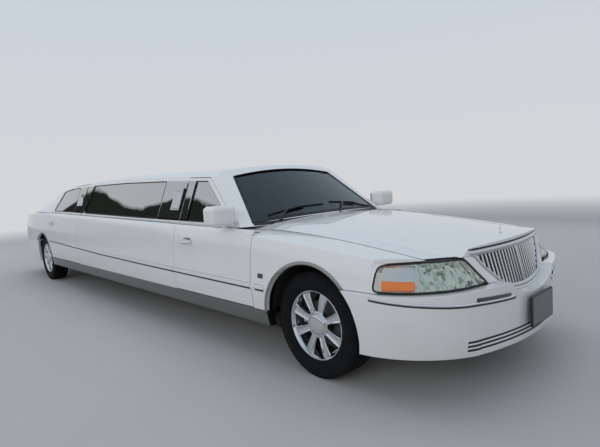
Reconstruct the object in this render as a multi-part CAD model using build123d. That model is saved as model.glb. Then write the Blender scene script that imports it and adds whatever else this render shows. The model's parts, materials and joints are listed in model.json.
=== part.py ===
# Stretch limousine: a four-door luxury saloon cut behind the front doors and lengthened.
# Millimetres. +X forward, +Y to the car's left, +Z up; the origin is on the ground at mid-length.
# The body is three lofts: the nose ahead of the front doors, the straight sided middle and the tail,
# with a greenhouse loft above the belt plane. Panels are cut from them along the real shut lines.
from build123d import *
from math import hypot, sqrt
import os

# Driving dimensions of the whole car
LENGTH = 8540.0
WHEELBASE = 6038.0
REAR_OVERHANG = 1436.5
TRACK_FRONT = 1608.0
TRACK_REAR = 1669.0
REAR_AXLE_X = REAR_OVERHANG - LENGTH / 2
FRONT_AXLE_X = REAR_AXLE_X + WHEELBASE
HALF_WIDTH = 984.0

# Tyres and wheels
TYRE_RADIUS = 351.0
TYRE_WIDTH = 225.0
BEAD_RADIUS = 216.0
RIM_LIP_RADIUS = 229.0
RIM_WIDTH = 196.0
SPOKE_COUNT = 8
HUB_BORE_RADIUS = 36.0
RUNNING_GAP = 0.3

# Shut lines along the side, and the gap that every panel keeps from its neighbour
SHUT_GAP = 6.0
NOSE_X = 2655.0
FRONT_DOOR_REAR_X = 1512.0
REAR_DOOR_FRONT_X = -1150.0
REAR_DOOR_REAR_X = -2450.0
TAIL_X = -3300.0
ARCH_RADIUS = 405.0
ARCH_FLANGE = 35.0
ROCKER_TOP = 402.0
SILL_Z = 285.0

# Side profile: the side bows out between the sill and the crease under the belt
WIDEST_Z = 600.0
SILL_TUCK = 34.0
CREASE_TUCK = 40.0
CREASE_DROP = 43.0
BELT_Y = 905.0

# The belt plane rises towards the tail
BELT_FRONT_X = 2540.0
BELT_FRONT_Z = 958.0
BELT_SLOPE = 0.0245

# Wall thicknesses
SKIN = 26.0
DOOR_SKIN = 14.0
DOOR_WALL = 105.0
DOOR_PLUG_BACK = 15.0
HINGE_HEIGHTS = (500.0, 760.0)
FRAME_WALL = 42.0
GLASS = 5.0
GLASS_RECESS = 9.0
GLASS_GAP = 0.3
SHEET = 6.0

# Windscreen and rear window: plan arcs drawn out along a sloping line
SCREEN_BASE_X = 2562.0
SCREEN_BASE_Z = 1000.0
SCREEN_SLOPE = 1.33
BACKLIGHT_BASE_X = -3420.0
BACKLIGHT_BASE_Z = 1100.0
BACKLIGHT_SLOPE = 2.15
SCREEN_RADIUS = 2300.0

# Top edge of the side windows: a long arc that peaks behind mid-length
WINDOW_PEAK_X = -950.0
WINDOW_PEAK_Z = 1417.0
WINDOW_ARC_RADIUS = 53000.0
FRAME_HEIGHT = 26.0
WINDOW_CORNER = 45.0

# Reach of the cutting prisms, well outside the body
FAR = 6000.0
OUT_Y = 1150.0
IN_Y = 650.0


def belt(x):
    """Height of the belt plane at x."""
    return BELT_FRONT_Z + (BELT_FRONT_X - x) * BELT_SLOPE


def window_top(x):
    """Height of the side windows' top edge at x."""
    return WINDOW_PEAK_Z - (x - WINDOW_PEAK_X) ** 2 / (2 * WINDOW_ARC_RADIUS)


def box(x0, x1, y0, y1, z0, z1):
    """A box between two corners."""
    size = (abs(x1 - x0), abs(y1 - y0), abs(z1 - z0))
    return Pos((x0 + x1) / 2, (y0 + y1) / 2, (z0 + z1) / 2) * Box(*size)


def both_sides(shape):
    """The shape and its mirror image across the car's centre plane."""
    return shape + mirror(shape, Plane.XZ)


def closed(points):
    """A flat face from a list of edges' corners: a corner given as (arc point, end) makes an arc."""
    edges = []
    start = points[0]
    for item in points[1:]:
        if isinstance(item[0], tuple):
            middle, end = item
            edges.append(Edge.make_three_point_arc(start, middle, end))
        else:
            end = item
            edges.append(Edge.make_line(start, end))
        start = end
    if start != points[0]:
        edges.append(Edge.make_line(start, points[0]))
    return Face(Wire(edges))


def side_corners(half, crease_z, inset):
    """Sill, widest and crease corners of one side, as (y, z)."""
    return [
        (half - SILL_TUCK - inset, SILL_Z),
        (half - inset, WIDEST_Z),
        (half - CREASE_TUCK - inset, crease_z),
    ]


def deck_section(x, half, crease_z, deck_y, deck_z, foot_y, foot_z, dome_y, dome_z, top_z, inset):
    """YZ face of the nose or tail: bowed sides, a shoulder, and a deck with a raised dome."""
    sill, wide, crease = side_corners(half, crease_z - inset, inset)
    deck = (deck_y - inset, deck_z - inset)
    shoulder = ((crease[0] + deck[0]) / 2 + 8, (crease[1] + deck[1]) / 2 + 9)
    foot = (foot_y - inset, foot_z - inset)
    dome = (dome_y - inset, dome_z - inset)
    top = (0.0, top_z - inset)
    floor_z = SILL_Z - (60.0 if inset else 0.0)

    def at(point):
        return (x, point[0], point[1])

    def left(point):
        return (x, -point[0], point[1])

    return closed([
        (x, -sill[0], floor_z), (x, sill[0], floor_z), (x, sill[0], sill[1] + 1.0),
        (at(wide), at(crease)), (at(shoulder), at(deck)), at(foot), at(dome),
        (at(top), left(dome)), left(foot), left(deck), (left(shoulder), left(crease)),
        (left(wide), (x, -sill[0], sill[1] + 1.0)),
    ])


# Nose stations: x, half width, crease z, deck y and z (the hood's side edge), foot y and z and
# dome y and z (the raised middle of the hood), top z
NOSE_ROWS = [
    (NOSE_X, HALF_WIDTH, belt(NOSE_X) - CREASE_DROP, 752, 943, 650, 962, 590, 974, 998),
    (3200, 978, 872, 722, 897, 610, 912, 560, 932, 958),
    (3700, 955, 820, 700, 828, 575, 838, 525, 878, 914),
    (4200, 905, 752, 680, 742, 545, 775, 492, 832, 840),
]

# Tail stations, in the same columns: the deck is the trunk lid
TAIL_ROWS = [
    (TAIL_X, HALF_WIDTH, belt(TAIL_X) - CREASE_DROP, 770, 1098, 600, 1112, 400, 1120, 1124),
    (-3800, 968, 1040, 755, 1074, 600, 1092, 400, 1102, 1107),
    (-4220, 925, 985, 735, 1015, 580, 1034, 400, 1046, 1052),
]


def loft_rows(rows, inset):
    """Smooth loft through the rows of a station table."""
    sections = [deck_section(*row, inset) for row in rows]
    return Solid.make_loft([face.outer_wire() for face in sections])


def middle_section(x, inset):
    """YZ face of the body's straight sided middle, from the sill to the belt."""
    sill, wide, crease = side_corners(HALF_WIDTH, belt(x) - CREASE_DROP, inset)
    shoulder = (HALF_WIDTH - CREASE_TUCK - 12.0 - inset, belt(x) - 18.0)
    edge = (BELT_Y - inset, belt(x) + 4.0)
    floor_z = SILL_Z - (60.0 if inset else 0.0)
    return closed([
        (x, -sill[0], floor_z), (x, sill[0], floor_z), (x, sill[0], sill[1] + 1.0),
        ((x, *wide), (x, *crease)), ((x, *shoulder), (x, *edge)), (x, edge[0], belt(x) + 60.0),
        (x, -edge[0], belt(x) + 60.0), (x, -edge[0], edge[1]),
        ((x, -shoulder[0], shoulder[1]), (x, -crease[0], crease[1])),
        ((x, -wide[0], wide[1]), (x, -sill[0], sill[1] + 1.0)),
    ])


def middle_solid(inset):
    """The body between the nose and tail stations, below the belt plane."""
    ends = [middle_section(x, inset) for x in (NOSE_X, TAIL_X)]
    solid = Solid.make_loft([face.outer_wire() for face in ends], ruled=True)
    return solid - above_belt()


def above_belt():
    """Everything above the belt plane, over the whole car."""
    z_front, z_rear = belt(FAR), belt(-FAR)
    face = closed([(-FAR, -FAR, z_rear), (FAR, -FAR, z_front), (FAR, -FAR, FAR), (-FAR, -FAR, FAR)])
    return extrude(face, 2 * FAR, dir=(0, 1, 0))


# Greenhouse stations: x, y at the belt, y and z of the window's top, y and z of the roof's edge,
# z of the crown
ROOF_ROWS = [
    (2650, 872, 700, 1300, 585, 1368, 1402),
    (1300, 905, 752, 1368, 655, 1452, 1488),
    (-400, 905, 757, 1413, 655, 1484, 1520),
    (-2000, 903, 748, 1392, 645, 1433, 1468),
    (-3500, 850, 660, 1165, 540, 1190, 1215),
]


def roof_section(row, inset):
    """YZ face of the greenhouse: leaning sides, a rounded rail and the roof's crown."""
    x, base_y, window_y, window_z, edge_y, edge_z, crown_z = row
    down = 120.0
    lean = (base_y - window_y) / (window_z - belt(x))
    foot = (base_y + lean * down - inset, belt(x) - down)
    window = (window_y - inset, window_z - inset * 0.4)
    edge = (edge_y - inset * 0.6, edge_z - inset)
    rail = ((window[0] + edge[0]) / 2 + 14, (window[1] + edge[1]) / 2 + 12)
    crown = (0.0, crown_z - inset)
    return closed([
        (x, -foot[0], foot[1]), (x, *foot), (x, *window), ((x, *rail), (x, *edge)),
        ((x, *crown), (x, -edge[0], edge[1])), ((x, -rail[0], rail[1]), (x, -window[0], window[1])),
    ])


def roof_solid(inset):
    """The greenhouse above the belt plane, before the screens cut its ends."""
    sections = [roof_section(row, inset) for row in ROOF_ROWS]
    solid = Solid.make_loft([face.outer_wire() for face in sections])
    below = closed([(-FAR, -FAR, belt(-FAR)), (FAR, -FAR, belt(FAR)), (FAR, -FAR, -FAR), (-FAR, -FAR, -FAR)])
    return solid - extrude(below, 2 * FAR, dir=(0, 1, 0))


def screen_side(base_x, base_z, slope, back, sign):
    """Solid behind a screen: a plan arc drawn along the screen's slope. back moves it inwards."""
    reach, half = 9000.0, 1100.0
    low_z = base_z - 200.0
    low_x = base_x + sign * (slope * 200.0 - back)
    sag = SCREEN_RADIUS - sqrt(SCREEN_RADIUS ** 2 - half ** 2)
    inner_x = low_x - sign * reach
    side_x = low_x - sign * sag
    face = closed([
        (inner_x, -half, low_z), (side_x, -half, low_z), ((low_x, 0.0, low_z), (side_x, half, low_z)),
        (inner_x, half, low_z),
    ])
    return extrude(face, 900.0 * hypot(1.0, slope), dir=(-sign * slope, 0, 1))


def screen_pair(back):
    """What lies between the windscreen and the rear window, both moved inwards by back."""
    front = screen_side(SCREEN_BASE_X, SCREEN_BASE_Z, SCREEN_SLOPE, back * hypot(1, SCREEN_SLOPE), 1)
    rear = screen_side(BACKLIGHT_BASE_X, BACKLIGHT_BASE_Z, BACKLIGHT_SLOPE, back * hypot(1, BACKLIGHT_SLOPE), -1)
    return front & rear


def cabin_solid(inset):
    """The whole greenhouse: roof loft cut by both screens, above the belt plane."""
    return roof_solid(inset) & screen_pair(inset)


def left_half(shape):
    """The part of a shape on the car's left."""
    return shape & box(-FAR, FAR, 0.0, 2000.0, -100.0, 2000.0)


def side_prism(corners, y0=IN_Y, y1=OUT_Y):
    """Prism across the left side from an XZ outline; arcs as in closed()."""
    points = []
    for item in corners:
        if isinstance(item[0], tuple):
            points.append(tuple((x, y0, z) for x, z in item))
        else:
            points.append((item[0], y0, item[1]))
    return extrude(closed(points), y1 - y0, dir=(0, 1, 0))


def plan_prism(corners, z0, z1):
    """Upright prism from a plan outline."""
    points = []
    for item in corners:
        if isinstance(item[0], tuple):
            points.append(tuple((x, y, z0) for x, y in item))
        else:
            points.append((item[0], item[1], z0))
    return extrude(closed(points), z1 - z0, dir=(0, 0, 1))


def across(x, z, radius, y0=0.0, y1=OUT_Y):
    """Cylinder along Y on the left side."""
    return Pos(x, (y0 + y1) / 2, z) * Rot(90, 0, 0) * Cylinder(radius, y1 - y0)


# Shells of the side walls, on the left
LOWER = left_half(middle_solid(0.0))
UPPER = left_half(cabin_solid(0.0))
LOWER_WALL = LOWER - middle_solid(DOOR_WALL)
LOWER_SKIN = LOWER - middle_solid(DOOR_SKIN)
UPPER_WALL = UPPER - cabin_solid(FRAME_WALL)
UPPER_SKIN = UPPER - cabin_solid(DOOR_SKIN)

# A pillar line in side view: it runs beside the windscreen, set back by the pillar
PILLAR_BASE_X = 2392.0
PILLAR_SLOPE = 0.743


def pillar_x(z, back=0.0):
    """X of the front door frame's leading edge at height z, moved back."""
    return PILLAR_BASE_X - (z - belt(PILLAR_BASE_X)) / PILLAR_SLOPE - back


def frame_top(x, down=0.0):
    """Height of the door frames' top edge at x, moved down."""
    return window_top(x) + FRAME_HEIGHT - down


def pillar_top_x(down, back):
    """X where the frame's leading edge meets its top edge."""
    x = 1850.0
    for _ in range(8):
        x = pillar_x(frame_top(x, down), back)
    return x


def top_arc(x0, x1, down):
    """Corner entry for the frame's top edge from x0 to x1."""
    middle = (x0 + x1) / 2
    return ((middle, frame_top(middle, down)), (x1, frame_top(x1, down)))


# The rear door's frame leans forward above the belt by this much at its top
C_LEAN = 95.0


def front_door_prism(edge, front_edge):
    """Outline of the front door, inside its shut lines by edge (front_edge at the hinge side)."""
    front, rear = NOSE_X - front_edge, FRONT_DOOR_REAR_X + edge
    low = ROCKER_TOP + edge
    back = 1.35 * edge
    top_x = pillar_top_x(edge, back)
    foot_z = belt(PILLAR_BASE_X) - edge
    return side_prism([
        (front, low), (front, belt(front) - edge), (pillar_x(foot_z, back), foot_z),
        (top_x, frame_top(top_x, edge)), top_arc(top_x, rear, edge), (rear, low),
    ])


def rear_door_prism(edge, front_edge):
    """Outline of the rear door: its lower rear corner is cut round the wheel arch."""
    front, rear = REAR_DOOR_FRONT_X - front_edge, REAR_DOOR_REAR_X + edge
    low = ROCKER_TOP + edge
    outline = side_prism([
        (front, low), (front, frame_top(front, edge)), top_arc(front, rear + C_LEAN, edge),
        (rear, belt(rear) + 4.0), (rear, low),
    ])
    outline = outline + side_prism([(rear, low), (rear, TYRE_RADIUS + ARCH_RADIUS), (rear + 200, low)])
    return outline - across(REAR_AXLE_X, TYRE_RADIUS, ARCH_RADIUS + ARCH_FLANGE + edge)


# Window openings: x at the bottom front and rear, x at the top front and rear
SILL_RISE = 20.0
FRONT_WINDOW = (2250.0, 1618.0)
REAR_WINDOW = (-1452.0, -2366.0, -2268.0)
LONG_WINDOW = (1092.0, -1085.0, -915.0)


def rounded(corners, radius):
    """XZ polygon as a face on the XZ plane at y = IN_Y, with its corners rounded."""
    face = closed([(x, IN_Y, z) for x, z in corners])
    return face.fillet_2d(radius, face.vertices())


def window_prism(corners, radius):
    """Prism of a window opening with rounded corners."""
    return extrude(rounded(corners, radius), OUT_Y - IN_Y, dir=(0, 1, 0))


def front_window(out=0.0):
    """Front door's window opening, grown by out."""
    bottom_front, rear = FRONT_WINDOW
    base = belt(bottom_front) + SILL_RISE - out
    back = 62.0 - out * 1.6
    top_x = pillar_top_x(FRAME_HEIGHT - out, back)
    front = bottom_front + out
    meet_z = belt(PILLAR_BASE_X) + (PILLAR_BASE_X - back - front) * PILLAR_SLOPE
    corners = [
        (front, base), (front, meet_z), (top_x, window_top(top_x) + out),
        (rear - out, window_top(rear) + out), (rear - out, belt(rear) + SILL_RISE - out),
    ]
    return window_prism(corners, 16.0)


def rear_window_side(out=0.0):
    """Rear door's window opening."""
    front, bottom_rear, top_rear = REAR_WINDOW
    corners = [
        (front + out, belt(front) + SILL_RISE - out), (front + out, window_top(front) + out),
        (-1900.0, window_top(-1900.0) + out), (top_rear - out, window_top(top_rear) - 22.0 + out),
        (bottom_rear - out, belt(bottom_rear) + SILL_RISE - out),
    ]
    return window_prism(corners, WINDOW_CORNER)


def long_window(out=0.0):
    """Opening of the long fixed window between the doors."""
    front, bottom_rear, top_rear = LONG_WINDOW
    middle = (front + top_rear) / 2
    corners = [
        (front + out, belt(front) + SILL_RISE - out), (front + out, window_top(front) + out),
        (middle, window_top(middle) + out), (top_rear - out, window_top(top_rear) + out),
        (bottom_rear - out, belt(bottom_rear) + SILL_RISE - out),
    ]
    return window_prism(corners, WINDOW_CORNER)


# Side moulding: the middle line of a raised strip that runs along the doors and the stretched middle
MOULDING_LINE = [(2795.0, 567.0), (1000.0, 589.0), (-300.0, 612.0), (-2500.0, 680.0)]
MOULDING_HEIGHT = 36.0
MOULDING_PROUD = 6.0
MOULDING_SET_BACK = 10.0


def moulding_band():
    """Prism over the moulding's height, from inside the skins outwards."""
    half = MOULDING_HEIGHT / 2
    upper = [(x, z + half) for x, z in MOULDING_LINE]
    lower = [(x, z - half) for x, z in reversed(MOULDING_LINE)]
    return side_prism(upper + lower, 972.0, OUT_Y)


MOULDING = middle_solid(-MOULDING_PROUD) & moulding_band()


def door(prism, window):
    """One left door: an outer skin to the shut lines over a thick inner plug, with its moulding and window."""
    flange = (LOWER_SKIN + UPPER_SKIN) & prism(SHUT_GAP / 2, SHUT_GAP / 2)
    plug = (LOWER_WALL + UPPER_WALL) & prism(SHUT_GAP / 2 + 30.0, DOOR_PLUG_BACK)
    strip = MOULDING & prism(SHUT_GAP / 2, SHUT_GAP / 2 + MOULDING_SET_BACK)
    return (flange + plug + strip) - window


def door_handle(x, z):
    """Pull bar of a door on its two feet, standing off the skin."""
    y = HALF_WIDTH - 26.0
    bar = Pos(x, y + 34.0, z) * Box(200.0, 14.0, 30.0)
    bar = fillet(bar.edges().filter_by(Axis.Z), 6.0)
    feet = [Pos(x + dx, y + 14.0, z) * Box(30.0, 40.0, 26.0) for dx in (-80.0, 80.0)]
    return bar + feet


def mirror_housing():
    """Door mirror: a rounded shell on a short foot, open towards the rear for its glass."""
    shell = Pos(2360.0, 1010.0, 1066.0) * Box(150.0, 215.0, 150.0)
    shell = fillet(shell.edges(), 38.0)
    hollow = Pos(2285.0, 1010.0, 1066.0) * Box(24.0, 180.0, 116.0)
    sail = side_prism([(2358.0, 970.0), (2256.0, 970.0), (2256.0, 1040.0), (2264.0, 1040.0)], 866.0, 908.0)
    arm = box(2262.0, 2350.0, 898.0, 940.0, 1004.0, 1040.0)
    return (shell - hollow) + sail + arm


SIDE_PANE = left_half(cabin_solid(GLASS_RECESS)) - cabin_solid(GLASS_RECESS + GLASS)


def side_glass(window):
    """Pane seated in its opening, below the outer surface."""
    return SIDE_PANE & window


def side_panel():
    """Fixed side of the stretched middle, with its pillars and window surround."""
    g = SHUT_GAP / 2
    front, rear = FRONT_DOOR_REAR_X - g, REAR_DOOR_FRONT_X + g
    low = ROCKER_TOP - g + RUNNING_GAP
    prism = side_prism([
        (front, low), (front, frame_top(front, RUNNING_GAP)), top_arc(front, rear, RUNNING_GAP), (rear, low),
    ])
    lug_x = REAR_DOOR_FRONT_X - DOOR_PLUG_BACK + RUNNING_GAP
    lugs = [box(lug_x, rear + 5.0, 890.0, 930.0, z, z + 50.0) for z in HINGE_HEIGHTS]
    return ((LOWER_WALL + UPPER_WALL + MOULDING) & prism) - long_window() + lugs


# Nose outline in plan at two heights: centre, end of the front arc, corner, and side
NOSE_LOW_Z = 640.0
NOSE_HIGH_Z = 790.0
NOSE_LOW = [(4155.0, 0.0), (4124.0, 420.0), (4010.0, 790.0), (3700.0, 955.0)]
NOSE_HIGH = [(4120.0, 0.0), (4050.0, 530.0), (3905.0, 712.0), (3700.0, 930.0)]
TAIL_LOW = [(-4196.0, 0.0), (-4150.0, 560.0), (-4060.0, 850.0), (-3860.0, 962.0)]
TAIL_HIGH = [(-4130.0, 0.0), (-4092.0, 560.0), (-4010.0, 800.0), (-3860.0, 920.0)]
TAIL_LOW_Z = 640.0
TAIL_HIGH_Z = 1040.0
BUMPER_LOW_Z = 268.0
REAR_BUMPER_LOW_Z = 275.0
BUMPER_LOW = [(4236.0, 0.0), (4128.0, 590.0), (3960.0, 800.0), (3560.0, 950.0)]
BUMPER_HIGH = [(LENGTH / 2 - 20.0, 0.0), (4150.0, 600.0), (4010.0, 850.0), (3560.0, 972.0)]
REAR_BUMPER_LOW = [(-4240.0, 0.0), (-4180.0, 620.0), (-4080.0, 850.0), (-3860.0, 945.0)]
REAR_BUMPER_HIGH = [(-LENGTH / 2, 0.0), (-4212.0, 640.0), (-4110.0, 875.0), (-3860.0, 978.0)]


def plan_outline(points, z, inset, back_x):
    """Plan outline at height z: front arc, corner arcs and straight flanks, inset all round."""
    sign = 1.0 if points[0][0] > 0 else -1.0
    centre, front, corner, side = [
        (x - sign * inset * k, y - inset * m, z)
        for (x, y), k, m in zip(points, (1.0, 1.0, 0.75, 0.0), (0.0, 0.35, 0.75, 1.0))
    ]
    back = (back_x, side[1], z)

    def other(p):
        return (p[0], -p[1], p[2])

    return closed([
        other(back), other(side), (other(corner), other(front)), (centre, front), (corner, side), back,
    ])


def between_outlines(low, high, low_z, high_z, inset, z0, z1, back_x):
    """Solid that leans from the low outline to the high one, and stands upright below and above them."""
    levels = [(low, z0), (low, low_z), (high, high_z), (high, z1)]
    levels = [item for item, below in zip(levels, [(None, None)] + levels) if item[1] != below[1]]
    faces = [plan_outline(points, z, inset, back_x) for points, z in levels]
    return Solid.make_loft([face.outer_wire() for face in faces], ruled=True)


def nose_solid(inset):
    """The car ahead of the front doors, above the bumper."""
    cap = between_outlines(NOSE_LOW, NOSE_HIGH, NOSE_LOW_Z, NOSE_HIGH_Z, inset, 200.0, 1060.0, NOSE_X - 200.0)
    flanks = box(NOSE_X - 200.0, NOSE_LOW[3][0], -1000.0, 1000.0, 200.0, 1060.0)
    return loft_rows(NOSE_ROWS, inset) & (cap + flanks)


def tail_solid(inset):
    """The car behind the rear window."""
    cap = between_outlines(TAIL_LOW, TAIL_HIGH, TAIL_LOW_Z, TAIL_HIGH_Z, inset, 200.0, 1180.0, TAIL_X + 200.0)
    flanks = box(TAIL_LOW[3][0], TAIL_X + 200.0, -1000.0, 1000.0, 200.0, 1180.0)
    return loft_rows(TAIL_ROWS, inset) & (cap + flanks)


# Front end heights
BUMPER_TOP = 636.0
NOTCH_GAP = 14.0
NOTCH_REAR_X = 4090.0
LAMP_LOW_Z = 644.0
LAMP_TOP_Z = 792.0
GRILLE_TOP_Z = 832.0
GRILLE_HALF_TOP = 492.0
LAMP_REAR_X = 3704.0
HOOD_LINE = [(NOSE_X, 756.0), (3300.0, 717.0), (3905.0, 692.0)]


def hood_plan(edge):
    """Plan of the hood, inside its shut line by edge."""
    rear, middle, front = [(x, y - edge) for x, y in HOOD_LINE]
    rear = (rear[0] + edge, rear[1])
    return plan_prism([
        (rear[0], -rear[1]), rear, (middle, front), (4400.0, front[1]), (4400.0, -front[1]),
        (front[0], -front[1]), ((middle[0], -middle[1]), (rear[0], -rear[1])),
    ], 600.0, 1100.0)


def grille_prism(grow, x0=3900.0, x1=4300.0):
    """Prism along X of the grille's outline: wide top, sides that fall to a rounded bottom."""
    top = GRILLE_TOP_Z + grow
    half = GRILLE_HALF_TOP + grow
    points = [(-half, top), (half, top), (404.0 + grow, 716.0), (262.0 + grow * 0.7, 590.0 - grow * 0.7)]
    left = [(x0, y, z) for y, z in points]
    low = (x0, 0.0, 560.0 - grow)
    mirror_low = (x0, -left[3][1], left[3][2])
    mirror_side = (x0, -left[2][1], left[2][2])
    face = closed([left[0], left[1], left[2], left[3], (low, mirror_low), mirror_side])
    return extrude(face, x1 - x0, dir=(1, 0, 0))


# Skins of the nose and tail
NOSE = nose_solid(0.0)
NOSE_SKIN = NOSE - nose_solid(SKIN)
TAIL = tail_solid(0.0)
TAIL_SKIN = TAIL - tail_solid(SKIN)

# Trunk lid, tail lamps and rear bumper
TRUNK_FRONT_X = -3440.0
TRUNK_LINE_Y = 752.0
TRUNK_LOW_Z = 668.0
TRUNK_SHOULDER_Z = 982.0
TRUNK_FACE_HALF = 560.0
REAR_BUMPER_TOP = 640.0
TAIL_LAMP_LOW = 700.0
TAIL_LAMP_TOP = 905.0
TAIL_LAMP_SIDE_X = -3985.0


def hood():
    """Hood skin with its raised middle; its front edge lies over the grille and lamps."""
    g = SHUT_GAP / 2
    half = GRILLE_HALF_TOP + 24.0
    over_grille = box(0.0, FAR, -half, half, GRILLE_TOP_Z + SHUT_GAP, 1200.0)
    over_lamps = box(0.0, FAR, -900.0, 900.0, LAMP_TOP_Z + SHUT_GAP, 1200.0) - grille_prism(24.0)
    return NOSE_SKIN & hood_plan(g) & (over_grille + over_lamps)


def fender():
    """Left front fender: side skin round the wheel arch and the strip above the lamp."""
    g = SHUT_GAP / 2
    skin = left_half(NOSE_SKIN) & box(NOSE_X + g, FAR, 0.0, 1100.0, SILL_Z, 1200.0)
    skin = skin - hood_plan(-g) - box(0.0, NOSE_X + 200.0, 0.0, 1100.0, 0.0, ROCKER_TOP - g)
    skin = skin - box(0.0, FAR, 0.0, 700.0, 0.0, 1200.0)
    skin = skin - across(FRONT_AXLE_X, TYRE_RADIUS, ARCH_RADIUS)
    skin = skin - box(FRONT_AXLE_X, FAR, 0.0, 1100.0, 0.0, BUMPER_TOP + g)
    strip = extrude(middle_section(NOSE_X + g, -MOULDING_PROUD), MOULDING_LINE[0][0] - NOSE_X - g, dir=(1, 0, 0))
    skin = skin + (strip & moulding_band())
    return skin - box(LAMP_REAR_X, FAR, 0.0, 1100.0, 0.0, LAMP_TOP_Z + g)


def quarter():
    """Left rear quarter: side wall from the rear door round the wheel arch to the tail lamp."""
    g = SHUT_GAP / 2
    wall = left_half(middle_solid(0.0)) - middle_solid(SKIN)
    door_edge = box(REAR_DOOR_REAR_X - g, -FAR, 0.0, 1100.0, 0.0, 1300.0)
    flange = across(REAR_AXLE_X, TYRE_RADIUS, ARCH_RADIUS + ARCH_FLANGE - g) & box(-FAR, FAR, 0, 1100, 0, BUMPER_TOP)
    wall = wall & (door_edge + flange)
    body = wall + left_half(TAIL_SKIN)
    body = body - plan_prism([(TRUNK_FRONT_X + g, -10.0), (TRUNK_FRONT_X + g, TRUNK_LINE_Y + g),
                              (-4400.0, TRUNK_LINE_Y + g), (-4400.0, -10.0)], TRUNK_SHOULDER_Z - g, 1300.0)
    body = body - box(-3900.0, -4400.0, -10.0, TRUNK_FACE_HALF + g, 0.0, 1300.0)
    body = body - box(TAIL_LAMP_SIDE_X + g, -4400.0, 0.0, 1100.0, TAIL_LAMP_LOW - g, TAIL_LAMP_TOP + g)
    body = body - across(REAR_AXLE_X, TYRE_RADIUS, ARCH_RADIUS)
    body = body - box(REAR_AXLE_X, -4400.0, 0.0, 1100.0, 0.0, REAR_BUMPER_TOP + g)
    return body & box(-FAR, FAR, 0.0, 1100.0, SILL_Z, 1300.0)


def trunk_lid():
    """Trunk lid: the deck and the upper rear face between the lamps."""
    g = SHUT_GAP / 2
    deck = TAIL_SKIN & box(TRUNK_FRONT_X - g, -4400.0, -TRUNK_LINE_Y + g, TRUNK_LINE_Y - g,
                           TRUNK_SHOULDER_Z + g, 1300.0)
    face = TAIL_SKIN & box(-3900.0, -4400.0, -TRUNK_FACE_HALF + g, TRUNK_FACE_HALF - g, TRUNK_LOW_Z + g, 1300.0)
    return deck + face


TAIL_LAMP_DEPTH = 70.0


def tail_panel():
    """Strip of rear skin under the trunk lid, on the inner rear wall that carries the lamps."""
    g = SHUT_GAP / 2
    half = TRUNK_FACE_HALF - g
    low_z = REAR_BUMPER_TOP + g
    strip = TAIL_SKIN & box(-3900.0, -4400.0, -half, half, low_z, TRUNK_LOW_Z - 2 * g)
    behind = tail_solid(TAIL_LAMP_DEPTH + RUNNING_GAP)
    wall = behind - tail_solid(TAIL_LAMP_DEPTH + SHEET)
    floor_z = BOOT_FLOOR_Z + SHEET + RUNNING_GAP
    wall = wall & box(-3960.0, -4400.0, -790.0, 790.0, floor_z, TAIL_LAMP_TOP)
    wall = wall - box(-3900.0, -4400.0, -half + 30.0, half - 30.0, low_z + SHEET, 1200.0)
    ledge = (TAIL - tail_solid(TAIL_LAMP_DEPTH + 3.0)) & box(-3900.0, -4400.0, -half, half, low_z, low_z + SHEET)
    return strip + wall + ledge


def tail_lamp():
    """Left tail lamp: a deep block that wraps the corner."""
    g = SHUT_GAP
    block = TAIL & box(TAIL_LAMP_SIDE_X - g, -4400.0, TRUNK_FACE_HALF + g, 1100.0, TAIL_LAMP_LOW + g, TAIL_LAMP_TOP - g)
    return block - tail_solid(TAIL_LAMP_DEPTH)


def bumper(low, high, low_z, top_z, end_x, inset):
    """Bumper cover: a channel that wraps the end of the car to the wheel arches."""
    outer = between_outlines(low, high, low_z, top_z, 0.0, low_z, top_z, end_x)
    inner = between_outlines(low, high, low_z, top_z, inset, low_z - 50.0, top_z + 50.0, end_x)
    inner = inner & box(-FAR, FAR, -1200.0, 1200.0, 0.0, top_z - 20.0)
    middle = between_outlines(low, high, low_z, top_z, 62.0, low_z - 50.0, top_z + 50.0, end_x)
    return outer - inner - middle


def front_bumper():
    """Front bumper cover with three low slots and a lined notch under the grille."""
    end_x = FRONT_AXLE_X + 100.0
    cover = bumper(BUMPER_LOW, BUMPER_HIGH, BUMPER_LOW_Z, BUMPER_TOP, end_x, COVER_WALL)
    full = between_outlines(BUMPER_LOW, BUMPER_HIGH, BUMPER_LOW_Z, BUMPER_TOP, 0.0, BUMPER_LOW_Z, BUMPER_TOP, end_x)
    cover = cover + (full & grille_prism(NOTCH_GAP + 20.0, NOTCH_REAR_X, 4400.0))
    for row in range(3):
        cover = cover - box(3900.0, 4400.0, -560.0, 560.0, 300.0 + 23.0 * row, 312.0 + 23.0 * row)
    cover = cover - grille_prism(NOTCH_GAP, 3800.0, 4400.0)
    arch = both_sides(across(FRONT_AXLE_X, TYRE_RADIUS, ARCH_RADIUS, 500.0, OUT_Y))
    return cover - arch


def rear_bumper():
    """Rear bumper cover with a shallow step along its top."""
    cover = bumper(REAR_BUMPER_LOW, REAR_BUMPER_HIGH, REAR_BUMPER_LOW_Z, REAR_BUMPER_TOP,
                   REAR_AXLE_X - 100.0, COVER_WALL)
    arch = both_sides(across(REAR_AXLE_X, TYRE_RADIUS, ARCH_RADIUS, 500.0, OUT_Y))
    return cover - arch


# Grille: a chrome frame, upright bars and a backing plate
GRILLE_FRAME = 24.0
GRILLE_PITCH = 27.0
GRILLE_BAR = 10.0
GRILLE_DEPTH = 34.0
GRILLE_PLATE = 8.0
LAMP_DEPTH = 85.0


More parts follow.
